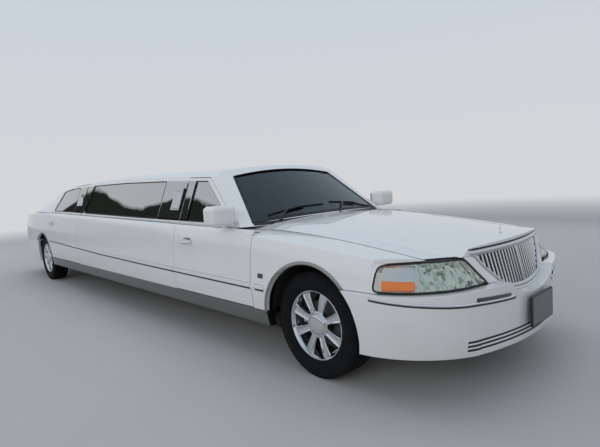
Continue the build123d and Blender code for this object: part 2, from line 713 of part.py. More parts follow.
def nose_front(y, z, back):
    """X of the nose's front arc at y and z, moved back."""
    t = (z - NOSE_LOW_Z) / (NOSE_HIGH_Z - NOSE_LOW_Z)
    centre = NOSE_LOW[0][0] + (NOSE_HIGH[0][0] - NOSE_LOW[0][0]) * t
    side_y = NOSE_LOW[1][1] + (NOSE_HIGH[1][1] - NOSE_LOW[1][1]) * t
    side_x = NOSE_LOW[1][0] + (NOSE_HIGH[1][0] - NOSE_LOW[1][0]) * t
    return centre - (centre - side_x) * (y / side_y) ** 2 - back


def grille_low_z(y):
    """Height of the grille opening's lower edge at y."""
    y = abs(y)
    if y < 255.0:
        return 562.0 + GRILLE_FRAME + 30.0 * (y / 262.0) ** 2
    if y < 390.0:
        return 592.0 + GRILLE_FRAME + (y - 255.0) * 0.9
    return 716.0 + GRILLE_FRAME + (y - 390.0) * 1.39


def grille():
    """Waterfall grille: frame, bars and back plate in one piece."""
    solid = between_outlines(NOSE_LOW, NOSE_HIGH, NOSE_LOW_Z, NOSE_HIGH_Z, -6.0, 500.0, 900.0, 3600.0)
    core = between_outlines(NOSE_LOW, NOSE_HIGH, NOSE_LOW_Z, NOSE_HIGH_Z, GRILLE_DEPTH, 490.0, 910.0, 3550.0)
    frame = (grille_prism(0.0) - grille_prism(-GRILLE_FRAME)) & solid
    frame = frame - core
    plate = grille_prism(-GRILLE_FRAME + 4.0, 3990.0, 4200.0) & core
    back = between_outlines(NOSE_LOW, NOSE_HIGH, NOSE_LOW_Z, NOSE_HIGH_Z, GRILLE_DEPTH + GRILLE_PLATE,
                            480.0, 920.0, 3500.0)
    plate = plate - back
    bars = []
    top = GRILLE_TOP_Z - GRILLE_FRAME + 4.0
    count = int((GRILLE_HALF_TOP - 2 * GRILLE_FRAME) // GRILLE_PITCH)
    for index in range(-count, count + 1):
        y = index * GRILLE_PITCH
        half = GRILLE_BAR / 2 if index else GRILLE_BAR
        low = grille_low_z(y) - 5.0
        x_low, x_top = nose_front(y, low, 3.0), nose_front(y, top, 3.0)
        side = closed([
            (x_low, y - half, low), (x_top, y - half, top), (x_top - GRILLE_DEPTH - 4.0, y - half, top),
            (x_low - GRILLE_DEPTH - 4.0, y - half, low),
        ])
        bars.append(extrude(side, 2 * half, dir=(0, 1, 0)))
    return (frame + plate) + bars


def headlamp():
    """Left headlamp: one block from the grille round to the fender, with a reflector bowl behind."""
    g = SHUT_GAP
    block = left_half(NOSE) & box(LAMP_REAR_X + g, FAR, 0.0, 1100.0, LAMP_LOW_Z, LAMP_TOP_Z)
    return block - grille_prism(8.0) - behind_lamps(LAMP_DEPTH)


def behind_lamps(depth):
    """Upright solid whose front and sides lie behind the nose's outline by depth."""
    return between_outlines(NOSE_LOW, NOSE_HIGH, NOSE_LOW_Z, NOSE_HIGH_Z, depth, 380.0, 1100.0, 3400.0)


def roof():
    """Roof with its pillars and screen frames; the door and window openings are left out."""
    shell = cabin_solid(0.0) - cabin_solid(FRAME_WALL)
    g = -SHUT_GAP / 2
    sides = front_door_prism(g, g) + rear_door_prism(g, g)
    front, rear = FRONT_DOOR_REAR_X + 20.0, REAR_DOOR_FRONT_X - 20.0
    sides = sides + side_prism([
        (front, 700.0), (front, frame_top(front)), top_arc(front, rear, 0.0), (rear, 700.0),
    ])
    shell = shell - both_sides(sides) - TAIL
    return shell - screen_opening(0.0) - backlight_opening(0.0)


def end_prism(corners, x0, x1):
    """Prism along X from a YZ outline."""
    points = []
    for item in corners:
        if isinstance(item[0], tuple):
            points.append(tuple((x0, y, z) for y, z in item))
        else:
            points.append((x0, item[0], item[1]))
    return extrude(closed(points), x1 - x0, dir=(1, 0, 0))


def screen_opening(inset):
    """Prism of the windscreen's opening."""
    return end_prism([
        (-775.0 + inset, 984.0 + inset), (-604.0 + inset, 1368.0 - inset),
        ((0.0, 1418.0 - inset), (604.0 - inset, 1368.0 - inset)), (775.0 - inset, 984.0 + inset),
        ((0.0, 1006.0 + inset), (-775.0 + inset, 984.0 + inset)),
    ], 1500.0, 2800.0)


def backlight_opening(inset):
    """Prism of the rear window's opening."""
    return end_prism([
        (-690.0 + inset, 1134.0 + inset), (-560.0 + inset, 1318.0 - inset),
        ((0.0, 1362.0 - inset), (560.0 - inset, 1318.0 - inset)), (690.0 - inset, 1134.0 + inset),
    ], -3600.0, -2500.0)


def screen(opening, x0, x1):
    """Pane of the windscreen or rear window, seated a little below the frame's surface."""
    pane = screen_pair(8.0) - screen_pair(8.0 + GLASS)
    return pane & roof_solid(GLASS_RECESS) & opening & box(x0, x1, -1000, 1000, 900, 1600)


ROCKER_WALL = 60.0


def rocker():
    """Left rocker moulding under the doors, between the wheel arches."""
    length = NOSE_X + 200.0 - REAR_AXLE_X
    outer = extrude(middle_section(NOSE_X, 0.0), length, dir=(-1, 0, 0))
    inner = extrude(middle_section(NOSE_X + 5.0, ROCKER_WALL), length + 10.0, dir=(-1, 0, 0))
    wall = Pos(200.0, 0, 0) * (outer - inner)
    strip = wall & box(FAR, -FAR, 0.0, 1100.0, SILL_Z, ROCKER_TOP - SHUT_GAP / 2)
    strip = strip + box(BULKHEAD_X, SEAT_RISER_X, FLOOR_HALF + RUNNING_GAP, 905.0, FLOOR_Z, FLOOR_Z + SHEET)
    strip = strip - across(FRONT_AXLE_X, TYRE_RADIUS, ARCH_RADIUS)
    return strip - across(REAR_AXLE_X, TYRE_RADIUS, ARCH_RADIUS + ARCH_FLANGE + SHUT_GAP / 2)


# Wheels and tyres
WHEEL_FACE = 28.0
DISC_RADIUS = 150.0
SPOKE_END = BEAD_RADIUS - 4.0


def tyre(y):
    """Tyre about the axle line, centred at y: round shoulders and straight beads."""
    half = TYRE_WIDTH / 2
    bead = RIM_WIDTH / 2 - 2.0
    seat = RIM_LIP_RADIUS + RUNNING_GAP
    profile = closed([
        (bead, 0.0, seat), ((half, 0.0, 285.0), (half - 9.0, 0.0, 333.0)), (half - 24.0, 0.0, TYRE_RADIUS - 4.0),
        ((0.0, 0.0, TYRE_RADIUS), (-half + 24.0, 0.0, TYRE_RADIUS - 4.0)), (-half + 9.0, 0.0, 333.0),
        ((-half, 0.0, 285.0), (-bead, 0.0, seat)),
    ])
    return Pos(0, y, 0) * Rot(0, 0, 90) * revolve(profile, Axis.X)


def wheel(y):
    """Left wheel about the axle line: rim barrel, eight tapered spokes, a round centre and its brake disc."""
    half = RIM_WIDTH / 2
    lip = RIM_LIP_RADIUS
    barrel = closed([
        (half, 0.0, lip), (half, 0.0, lip - 9.0), (half - 14.0, 0.0, lip - 22.0), (-half + 4.0, 0.0, lip - 22.0),
        (-half, 0.0, lip - 9.0), (-half, 0.0, lip), (-half + 7.0, 0.0, lip), (-half + 9.0, 0.0, BEAD_RADIUS - 1.0),
        (half - 9.0, 0.0, BEAD_RADIUS - 1.0), (half - 7.0, 0.0, lip),
    ])
    body = revolve(barrel, Axis.X)
    face = half - WHEEL_FACE
    centre = closed([
        (face + 6.0, 0.0, 0.0), (face + 6.0, 0.0, 52.0), (face - 8.0, 0.0, 84.0), (face - 40.0, 0.0, 84.0),
        (face - 40.0, 0.0, HUB_BORE_RADIUS), (face - 22.0, 0.0, HUB_BORE_RADIUS), (face - 22.0, 0.0, 0.0),
    ])
    body = body + revolve(centre, Axis.X)
    spoke = closed([
        (face - 6.0, -36.0, 60.0), (face - 6.0, 36.0, 60.0), (face + 6.0, 31.0, SPOKE_END), (face + 6.0, -31.0, SPOKE_END),
    ])
    spoke = extrude(spoke, 26.0, dir=(-1, 0, 0))
    for index in range(SPOKE_COUNT):
        body = body + Rot(360.0 / SPOKE_COUNT * (index + 0.5), 0, 0) * spoke
    disc = closed([
        (face - 40.0, 0.0, HUB_BORE_RADIUS), (face - 40.0, 0.0, 78.0), (face - 78.0, 0.0, 78.0),
        (face - 78.0, 0.0, DISC_RADIUS), (face - 104.0, 0.0, DISC_RADIUS), (face - 104.0, 0.0, 70.0),
        (face - 52.0, 0.0, 70.0), (face - 52.0, 0.0, HUB_BORE_RADIUS),
    ])
    body = body + revolve(disc, Axis.X)
    return Pos(0, y, 0) * Rot(0, 0, 90) * body


def hub_y(track):
    """Y of the inner end of the wheel's hub bore."""
    return track / 2 + RIM_WIDTH / 2 - WHEEL_FACE - 52.0


SPINDLE_RADIUS = HUB_BORE_RADIUS - RUNNING_GAP
KINGPIN_Y = 712.0
KNUCKLE_LOW = -118.0
KNUCKLE_TOP = 150.0
ARM_THICKNESS = 12.0


def spindle(track, inner_y):
    """Stub that carries a left wheel: it runs in the hub bore."""
    reach = hub_y(track) + 26.0
    return across(0.0, 0.0, SPINDLE_RADIUS, inner_y, reach)


def knuckle():
    """Left front knuckle about the axle line: upright, spindle, caliper and steering arm."""
    upright = box(-38.0, 38.0, KINGPIN_Y - 22.0, KINGPIN_Y + 8.0, KNUCKLE_LOW, KNUCKLE_TOP)
    upright = fillet(upright.edges().filter_by(Axis.Y), 20.0)
    body = upright + spindle(TRACK_FRONT, KINGPIN_Y)
    arm = box(-165.0, -30.0, KINGPIN_Y - 20.0, KINGPIN_Y + 6.0, -92.0, -66.0)
    return body + arm


# Half spacing and width of the frame's rails at the nose; the arms hang on their outer faces
RAIL_WIDTH = 80.0
FRONT_RAIL_Y = 360.0
TOWER_Y = FRONT_RAIL_Y + RAIL_WIDTH / 2 + RUNNING_GAP


def front_suspension():
    """Crossmember with upper and lower arms to both knuckles, and the steering rack."""
    beam = box(-70.0, 70.0, -470.0, 470.0, -150.0, -80.0)
    rack = across(-190.0, -60.0, 24.0, -500.0, 500.0)
    post = box(-240.0, -160.0, 300.0, 340.0, -100.0, -30.0) + box(-170.0, 0.0, 300.0, 340.0, -120.0, -90.0)
    body = beam + rack + both_sides(post)
    low = plan_arm(KNUCKLE_LOW - RUNNING_GAP - ARM_THICKNESS, KNUCKLE_LOW - RUNNING_GAP)
    high = plan_arm(KNUCKLE_TOP + RUNNING_GAP, KNUCKLE_TOP + RUNNING_GAP + ARM_THICKNESS)
    tower = box(-60.0, 60.0, TOWER_Y, TOWER_Y + 36.0, -150.0, 170.0)
    return body + both_sides(low + high + tower)


def plan_arm(z0, z1):
    """A-shaped arm from the frame to its ball joint on the steering axis."""
    tip = KINGPIN_Y
    outer = plan_prism([
        (-120.0, TOWER_Y), (-24.0, tip), ((0.0, tip + 24.0), (24.0, tip)), (120.0, TOWER_Y),
    ], z0, z1)
    hole = plan_prism([
        (-70.0, TOWER_Y + 40.0), (-12.0, tip - 90.0), (12.0, tip - 90.0), (70.0, TOWER_Y + 40.0),
    ], z0 - 5.0, z1 + 5.0)
    return outer - hole


def rear_axle():
    """Live rear axle: tubes, differential and the stubs that the wheels run on."""
    tube = across(0.0, 0.0, 40.0, -hub_y(TRACK_REAR) + 60.0, hub_y(TRACK_REAR) - 60.0)
    case = Sphere(128.0) & box(-128.0, 118.0, -110.0, 110.0, -120.0, 120.0)
    nose = Pos(165.0, 0, 0) * Rot(0, 90, 0) * Cylinder(48.0, 160.0)
    stubs = both_sides(spindle(TRACK_REAR, 500.0))
    spring_top = KICK_Z - RAIL_HEIGHT / 2 - RUNNING_GAP - TYRE_RADIUS
    spring = Pos(0, REAR_RAIL_Y, spring_top / 2) * Cylinder(52.0, spring_top)
    return tube + case + nose + stubs + both_sides(spring)


# Floor heights; the rails lie just under them
FLOOR_Z = 298.0
REAR_FLOOR_Z = 596.0
BOOT_FLOOR_Z = 500.0
BULKHEAD_X = 2560.0
SEAT_RISER_X = -2150.0
BOOT_STEP_X = -3560.0
LINER_RADIUS = 432.0
FLOOR_HALF = 852.0
TUNNEL_HALF = 110.0
TUNNEL_Z = 430.0
BULKHEAD_HALF = 820.0
HOUSING_OUT_Y = 893.0
SEAT_WALL_X = -2440.0
PARCEL_REAR_X = -3400.0
PARCEL_Z = 1050.0

# Chassis frame: two rails with a kick over the rear axle, tied by cross members
RAIL_HEIGHT = 110.0
RAIL_Z = FLOOR_Z - RUNNING_GAP - RAIL_HEIGHT / 2
KICK_Z = REAR_FLOOR_Z - RUNNING_GAP - RAIL_HEIGHT / 2
BOOT_RAIL_Z = BOOT_FLOOR_Z - RUNNING_GAP - RAIL_HEIGHT / 2
FRONT_RAIL_Z = 470.0
MIDDLE_RAIL_Y = 690.0
REAR_RAIL_Y = 540.0
RAIL_FRONT_X = 3980.0
RAIL_REAR_X = -4110.0
RAIL_PATH = [
    (RAIL_FRONT_X, FRONT_RAIL_Y, FRONT_RAIL_Z), (2980.0, FRONT_RAIL_Y, FRONT_RAIL_Z),
    (BULKHEAD_X + 60.0, MIDDLE_RAIL_Y, RAIL_Z), (SEAT_RISER_X - 70.0, MIDDLE_RAIL_Y, RAIL_Z),
    (SEAT_RISER_X - 250.0, REAR_RAIL_Y, KICK_Z), (-3380.0, REAR_RAIL_Y, KICK_Z),
    (BOOT_STEP_X + 16.0, REAR_RAIL_Y, BOOT_RAIL_Z), (RAIL_REAR_X, REAR_RAIL_Y, BOOT_RAIL_Z),
]
CROSS_X = [1500.0, 500.0, -500.0, -1500.0]
ENGINE_HALF = 300.0


BEAM_DEPTH = 36.0
BEAM_GAP = 0.6
COVER_WALL = 32.0


def bumper_beam(low, high, low_z, top_z, rail_x, rail_y, z0, z1):
    """Beam behind a bumper cover, following its inner face, with a leg to each rail."""
    sign = 1.0 if rail_x > 0 else -1.0
    face = COVER_WALL + BEAM_GAP
    outer = between_outlines(low, high, low_z, top_z, face, 100.0, 800.0, rail_x - sign * 600.0)
    inner = between_outlines(low, high, low_z, top_z, face + BEAM_DEPTH, 90.0, 810.0, rail_x - sign * 620.0)
    beam = (outer - inner) & box(rail_x - sign * 200.0, sign * FAR, -620.0, 620.0, z0, z1)
    leg = box(rail_x - sign * 5.0, sign * FAR, rail_y - 30.0, rail_y + 30.0, z0, z1)
    leg = leg & between_outlines(low, high, low_z, top_z, face + 10.0, 80.0, 820.0, rail_x - sign * 640.0)
    return beam + both_sides(leg)


def chassis_frame():
    """Ladder frame with its cross members, engine mounts and bumper beams."""
    path = Polyline(*RAIL_PATH)
    start = Plane(origin=RAIL_PATH[0], x_dir=(0, 1, 0), z_dir=(-1, 0, 0))
    rail = sweep(start * Rectangle(RAIL_WIDTH, RAIL_HEIGHT), path=path, transition=Transition.RIGHT)
    mount = box(3040.0, 3120.0, ENGINE_HALF + RUNNING_GAP, FRONT_RAIL_Y, 450.0, 500.0)
    frame = both_sides(rail + mount)
    for x in CROSS_X:
        frame = frame + box(x - 40, x + 40, -660.0, 660.0, 215.0, 275.0)
    frame = frame + box(3880.0, 3960.0, -FRONT_RAIL_Y, FRONT_RAIL_Y, 440.0, 500.0)
    frame = frame + box(-3300.0, -3380.0, -REAR_RAIL_Y, REAR_RAIL_Y, KICK_Z, KICK_Z + 50.0)
    frame = frame + box(-4030.0, RAIL_REAR_X, -REAR_RAIL_Y, REAR_RAIL_Y, BOOT_RAIL_Z - 30.0, BOOT_RAIL_Z + 30.0)
    frame = frame + bumper_beam(BUMPER_LOW, BUMPER_HIGH, BUMPER_LOW_Z, BUMPER_TOP, RAIL_FRONT_X, FRONT_RAIL_Y,
                                430.0, 510.0)
    return frame + bumper_beam(REAR_BUMPER_LOW, REAR_BUMPER_HIGH, REAR_BUMPER_LOW_Z, REAR_BUMPER_TOP, RAIL_REAR_X,
                               REAR_RAIL_Y, 400.0, 480.0)


def floor_pan():
    """Floor with its tunnel, firewall, rear riser, boot floor and the rear wheel housings."""
    low = FLOOR_Z + SHEET
    floor = box(BULKHEAD_X, SEAT_RISER_X, -FLOOR_HALF, FLOOR_HALF, FLOOR_Z, low)
    tunnel = box(BULKHEAD_X, SEAT_RISER_X, -TUNNEL_HALF, TUNNEL_HALF, FLOOR_Z, TUNNEL_Z)
    bore = box(BULKHEAD_X + 10.0, SEAT_RISER_X - 10.0, SHEET - TUNNEL_HALF, TUNNEL_HALF - SHEET, 200.0, TUNNEL_Z - SHEET)
    wall = box(BULKHEAD_X, BULKHEAD_X + SHEET, -BULKHEAD_HALF, BULKHEAD_HALF, FLOOR_Z, 900.0)
    riser = box(SEAT_RISER_X, SEAT_RISER_X - SHEET, -FLOOR_HALF, FLOOR_HALF, FLOOR_Z, REAR_FLOOR_Z + SHEET)
    shelf = box(SEAT_RISER_X, BOOT_STEP_X, -FLOOR_HALF, FLOOR_HALF, REAR_FLOOR_Z, REAR_FLOOR_Z + SHEET)
    step = box(BOOT_STEP_X, BOOT_STEP_X - SHEET, -500.0, 500.0, BOOT_FLOOR_Z, REAR_FLOOR_Z + SHEET)
    boot = box(BOOT_STEP_X, -4060.0, -FLOOR_HALF, FLOOR_HALF, BOOT_FLOOR_Z, BOOT_FLOOR_Z + SHEET)
    back = box(-4054.0, -4060.0, -FLOOR_HALF + 200.0, FLOOR_HALF - 200.0, BOOT_FLOOR_Z, 640.0)
    shelf_half = FLOOR_HALF - 60.0
    parcel = box(SEAT_WALL_X, PARCEL_REAR_X, -shelf_half, shelf_half, PARCEL_Z, PARCEL_Z + SHEET)
    seat_wall = box(SEAT_WALL_X, SEAT_WALL_X - SHEET, -shelf_half, shelf_half, REAR_FLOOR_Z, PARCEL_Z + SHEET)
    body = floor + tunnel + wall + riser + shelf + step + boot + back + parcel + seat_wall - bore
    housing = wheel_housing(REAR_AXLE_X, 640.0, 400.0)
    body = body - both_sides(across(REAR_AXLE_X, TYRE_RADIUS, LINER_RADIUS + SHEET, 640.0, HOUSING_OUT_Y))
    return body + both_sides(housing + hinge_post()) + both_sides(lid_bracket())


def wheel_housing(axle_x, inner_y, low_z):
    """Sheet housing round the top of a left wheel: an arched roof and an inner wall."""
    housing = across(axle_x, TYRE_RADIUS, LINER_RADIUS + SHEET, inner_y, HOUSING_OUT_Y)
    well = across(axle_x, TYRE_RADIUS, LINER_RADIUS, inner_y + SHEET, HOUSING_OUT_Y + 5.0)
    return (housing - well) & box(-FAR, FAR, inner_y - 5.0, HOUSING_OUT_Y, low_z, 1000.0)


def hinge_post():
    """Post ahead of the left front door, with the two lugs that its hinges bolt to."""
    lug_x = NOSE_X - DOOR_PLUG_BACK + RUNNING_GAP
    post = box(lug_x + 10.0, 2700.0, BULKHEAD_HALF - 20.0, 892.0, FLOOR_Z, 850.0)
    tie = box(BULKHEAD_X, 2700.0, BULKHEAD_HALF - 20.0, BULKHEAD_HALF, FLOOR_Z, 850.0)
    lugs = [box(lug_x, lug_x + 15.0, 878.0, 894.0, z, z + 50.0) for z in HINGE_HEIGHTS]
    return post + tie + lugs


def lid_bracket():
    """Arm of a trunk hinge: out from the parcel shelf and up to the lid's underside."""
    arm = box(PARCEL_REAR_X + 5.0, TRUNK_FRONT_X - 50.0, 500.0, 540.0, PARCEL_Z, PARCEL_Z + SHEET)
    riser = box(TRUNK_FRONT_X - 20.0, TRUNK_FRONT_X - 50.0, 500.0, 540.0, PARCEL_Z, 1140.0)
    return arm + (riser & tail_solid(SKIN + RUNNING_GAP))


def engine():
    """Engine and gearbox as one plain block."""
    block = box(2700.0, 3500.0, -ENGINE_HALF, ENGINE_HALF, 330.0, 800.0)
    return block + box(2140.0, 2710.0, -TUNNEL_HALF + 16.0, TUNNEL_HALF - 16.0, 310.0, TUNNEL_Z - 16.0)


SHAFT_Z = 360.0
PINION_X = REAR_AXLE_X + 245.0


def driveshaft():
    """Tube from the gearbox to the rear axle's pinion, with its two joints."""
    front = 2140.0 - RUNNING_GAP
    rear = PINION_X + RUNNING_GAP
    tube = Pos((front + rear) / 2, 0, SHAFT_Z) * Rot(0, 90, 0) * Cylinder(40.0, front - rear)
    ends = [Pos(x, 0, SHAFT_Z) * Rot(0, 90, 0) * Cylinder(52.0, 60.0) for x in (front - 30.0, rear + 30.0)]
    return tube + ends


EXHAUST_Y = -370.0
EXHAUST_PATH = [(2600.0, 170.0), (-2280.0, 170.0), (-2560.0, 495.0), (-3040.0, 495.0), (-3320.0, 235.0), (-4190.0, 235.0)]


def exhaust():
    """Exhaust pipe with its silencer, hung under the right side of the floor."""
    points = [(x, EXHAUST_Y, z) for x, z in EXHAUST_PATH]
    path = FilletPolyline(*points, radius=110.0)
    start = Plane(origin=points[0], z_dir=(-1, 0, 0))
    pipe = sweep(start * Circle(27.0), path=path)
    can = fillet(box(-1480.0, -2080.0, EXHAUST_Y - 110.0, EXHAUST_Y + 110.0, 122.0, 214.0).edges().filter_by(Axis.X), 40.0)
    hangers = [box(x - 6, x + 6, EXHAUST_Y - 10.0, EXHAUST_Y + 10.0, 170.0, FLOOR_Z - RUNNING_GAP) for x in (2000.0, 0.0)]
    return pipe + can + hangers


def fuel_tank():
    """Fuel tank slung between the rear rails under the boot floor."""
    tank = box(-3640.0, -4010.0, -320.0, 440.0, 330.0, BOOT_FLOOR_Z - RUNNING_GAP)
    return fillet(tank.edges().filter_by(Axis.Y), 45.0)


# Front end pieces behind the skin
PLATE_WIDTH = 305.0
PLATE_HEIGHT = 153.0
PLATE_LOW_Z = 353.0


def front_plate():
    """Blank plate in a thick black holder on the bumper; its face is the car's foremost point."""
    face = LENGTH / 2
    holder = box(face - 12.0, face, -PLATE_WIDTH / 2 - 16.0, PLATE_WIDTH / 2 + 16.0, PLATE_LOW_Z - 14.0,
                 PLATE_LOW_Z + PLATE_HEIGHT + 14.0)
    holder = fillet(holder.edges().filter_by(Axis.X), 12.0)
    pocket = box(face - 4.0, face + 1.0, -PLATE_WIDTH / 2, PLATE_WIDTH / 2, PLATE_LOW_Z, PLATE_LOW_Z + PLATE_HEIGHT)
    plate = box(face - 4.0, face - 2.0, -PLATE_WIDTH / 2, PLATE_WIDTH / 2, PLATE_LOW_Z, PLATE_LOW_Z + PLATE_HEIGHT)
    back = box(face - 40.0, face - 12.0, -60.0, 60.0, PLATE_LOW_Z, PLATE_LOW_Z + PLATE_HEIGHT)
    cover = between_outlines(BUMPER_LOW, BUMPER_HIGH, BUMPER_LOW_Z, BUMPER_TOP, -RUNNING_GAP, 200.0, 700.0, 3400.0)
    return holder - pocket + plate + (back - cover)


# Cowl and inner fenders
COWL_HALF = 828.0
COWL_SHEET = 12.0
APRON_Y = 470.0
SUPPORT_X = 3860.0


def cowl():
    """Black cowl between the hood's rear edge and the windscreen's foot, with the hood's hinge brackets."""
    start, front = 2400.0, NOSE_X - SHUT_GAP / 2
    row = NOSE_ROWS[0][1:]
    outer = extrude(deck_section(start, *row, 0.0), front - start, dir=(1, 0, 0))
    inner = extrude(deck_section(start - 5.0, *row, COWL_SHEET), front - start + 10.0, dir=(1, 0, 0))
    skin = (outer - inner) & box(start, front, -COWL_HALF, COWL_HALF, 880.0, 1100.0)
    lip = box(BULKHEAD_X + SHEET, BULKHEAD_X + 2 * SHEET, -735.0, 735.0, 860.0, 938.0)
    bracket = box(BULKHEAD_X + SHEET, 2700.0, 560.0, 600.0, 880.0, 900.0)
    bracket = bracket + (box(2662.0, 2700.0, 560.0, 600.0, 880.0, 1000.0) & nose_solid(SKIN + RUNNING_GAP))
    return (skin - cabin_solid(0.0)) + lip + both_sides(bracket)



def inner_fender():
    """Left inner fender: the wheel's housing, a wall to the nose and the posts under the outer skin."""
    housing = wheel_housing(FRONT_AXLE_X, APRON_Y, 400.0)
    apron = box(BULKHEAD_X + SHEET + RUNNING_GAP, SUPPORT_X, APRON_Y, APRON_Y + SHEET, 540.0, 760.0)
    arm_hole = box(FRONT_AXLE_X - 150.0, FRONT_AXLE_X + 150.0, APRON_Y - 5.0, APRON_Y + 10.0, 0.0, 560.0)
    arm_hole = arm_hole + box(BULKHEAD_X, 2990.0, APRON_Y - 5.0, 640.0, 0.0, 535.0)
    post = box(FRONT_AXLE_X - 25.0, FRONT_AXLE_X + 25.0, 770.0, 810.0, TYRE_RADIUS + LINER_RADIUS, 1000.0)
    post = post & nose_solid(SKIN + RUNNING_GAP)
    return (housing + apron) - arm_hole + post


def inner_fenders():
    """Both inner fenders and the radiator support that ties them and carries the lamps and the grille."""
    lamp_backs = behind_lamps(LAMP_DEPTH + RUNNING_GAP)
    panel = box(SUPPORT_X, SUPPORT_X + SHEET, -690.0, 690.0, 400.0, 780.0) & lamp_backs
    panel = panel - box(SUPPORT_X - 5.0, SUPPORT_X + 20.0, -400.0, 400.0, 440.0, 720.0)
    rail_gap = box(SUPPORT_X - 5.0, SUPPORT_X + 20.0, FRONT_RAIL_Y - 40.3, FRONT_RAIL_Y + 40.3, 300.0,
                   FRONT_RAIL_Z + RAIL_HEIGHT / 2 + RUNNING_GAP)
    lamp_arm = box(SUPPORT_X, 4200.0, 570.0, 620.0, 700.0, 740.0) & lamp_backs
    behind_grille = behind_lamps(GRILLE_DEPTH + GRILLE_PLATE + RUNNING_GAP)
    grille_arm = box(SUPPORT_X, 4200.0, 300.0, 330.0, 722.0, 752.0) & behind_grille
    return panel - both_sides(rail_gap) + both_sides(inner_fender() + lamp_arm + grille_arm)




# Interior
DRIVER_Y = 375.0
DASH_HALF = 770.0
STEERING_TILT = 26.0
STEERING_PLACE = Pos(1985.0, DRIVER_Y, 838.0) * Rot(0, -(90.0 - STEERING_TILT), 0) * Rot(0, 0, 90)
COLUMN_RADIUS = 32.0


def lining(gap):
    """Space inside the doors and roof, kept back by a gap."""
    return middle_solid(DOOR_WALL + gap) + cabin_solid(FRAME_WALL + gap)


def dashboard():
    """Dashboard with a hood over the instruments and a centre console down to the floor."""
    profile = closed([
        (2446.0, -DASH_HALF, 560.0), (2446.0, -DASH_HALF, 925.0), (2300.0, -DASH_HALF, 936.0),
        ((2140.0, -DASH_HALF, 925.0), (2090.0, -DASH_HALF, 850.0)), (2130.0, -DASH_HALF, 700.0), (2200.0, -DASH_HALF, 560.0),
    ])
    body = extrude(profile, 2 * DASH_HALF, dir=(0, 1, 0))
    hood_over = Pos(2140.0, DRIVER_Y, 925.0) * Box(180.0, 400.0, 44.0)
    body = body + fillet(hood_over.edges(), 14.0)
    console = box(2180.0, 2540.0, -TUNNEL_HALF - 20.0, TUNNEL_HALF + 20.0, TUNNEL_Z + RUNNING_GAP, 600.0)
    mounts = box(2440.0, BULKHEAD_X - RUNNING_GAP, -DASH_HALF, DASH_HALF, 600.0, 700.0)
    column_bore = STEERING_PLACE * Pos(0, 0, -160.0) * Cylinder(COLUMN_RADIUS + RUNNING_GAP, 400.0)
    return body + console + mounts - column_bore



def steering_wheel():
    """Steering wheel with four spokes on its column."""
    rim = Torus(186.0, 15.0)
    hub = Cylinder(62.0, 46.0)
    spokes = Box(364.0, 34.0, 16.0)
    lower = Pos(0, -90.0, 0) * Box(30.0, 180.0, 14.0)
    column = Pos(0, 0, -110.0) * Cylinder(COLUMN_RADIUS, 200.0)
    return STEERING_PLACE * (rim + hub + spokes + lower + column)


def seat(width):
    """Soft seat at y = 0: cushion, leaning back and headrest on a base."""
    half = width / 2
    cushion = fillet(box(1425.0, 1950.0, -half, half, 400.0, 590.0).edges(), 45.0)
    back = Pos(1345.0, 0, 800.0) * Rot(0, -17.0, 0) * fillet(Box(130.0, width - 20.0, 640.0).edges(), 45.0)
    rest = Pos(1228.0, 0, 1180.0) * Rot(0, -12.0, 0) * fillet(Box(90.0, width * 0.5, 170.0).edges(), 35.0)
    base = box(1440.0, 1900.0, -half + 60.0, half - 60.0, FLOOR_Z + SHEET + RUNNING_GAP, 430.0)
    post = Pos(1250.0, 0, 1090.0) * Rot(0, -14.0, 0) * Box(16.0, 120.0, 120.0)
    return cushion + back + rest + base + post


def front_seats():
    """Driver's and passenger's seats."""
    return both_sides(Pos(0, DRIVER_Y, 0) * seat(520.0))


PARTITION_X = 1108.0


def partition():
    """Wall behind the front seats with its wide window."""
    slab = lining(4.0) & box(PARTITION_X, PARTITION_X - 34.0, -900.0, 900.0, FLOOR_Z + SHEET + RUNNING_GAP, 1500.0)
    slab = slab - box(900.0, 1300.0, -TUNNEL_HALF, TUNNEL_HALF, 0.0, TUNNEL_Z + RUNNING_GAP)
    return slab - box(900.0, 1300.0, -560.0, 560.0, 930.0, 1270.0)


def cabin_seats():
    """Rear bench with its back, and the long bench down the left side."""
    base_z = FLOOR_Z + SHEET + RUNNING_GAP
    notch = box(-3000.0, 1000.0, -TUNNEL_HALF - 2.0, TUNNEL_HALF + 2.0, 0.0, TUNNEL_Z + 2.0)
    cushion = fillet(box(-1560.0, -2140.0, -780.0, 780.0, TUNNEL_Z + 4.0, 660.0).edges(), 40.0)
    plinth = box(-1600.0, -2120.0, -760.0, 760.0, base_z, TUNNEL_Z + 60.0) - notch
    back = Pos(-2235.0, 0, 900.0) * Rot(0, -16.0, 0) * fillet(Box(130.0, 1520.0, 560.0).edges(), 45.0)
    side_seat = fillet(box(-1450.0, 900.0, 330.0, 800.0, 420.0, 600.0).edges(), 40.0)
    side_base = box(-1420.0, 870.0, 370.0, 790.0, base_z, 460.0)
    side_back = fillet(box(-1400.0, 900.0, 715.0, 800.0, 560.0, 960.0).edges(), 38.0)
    return (cushion + plinth + back) + (side_seat + side_base + side_back)


def bar_cabinet():
    """Drinks cabinet along the right side, with an open shelf."""
    base_z = FLOOR_Z + SHEET + RUNNING_GAP
    body = box(-820.0, 820.0, -800.0, -520.0, base_z, 880.0)
    niche = box(-760.0, -60.0, -700.0, -400.0, 620.0, 830.0) + box(60.0, 760.0, -700.0, -400.0, 620.0, 830.0)
    return body - niche


def mirrored(name, shape):
    """The left piece and its mirror image on the right, named by side."""
    yield name + "_left", shape
    yield name + "_right", mirror(shape, Plane.XZ)


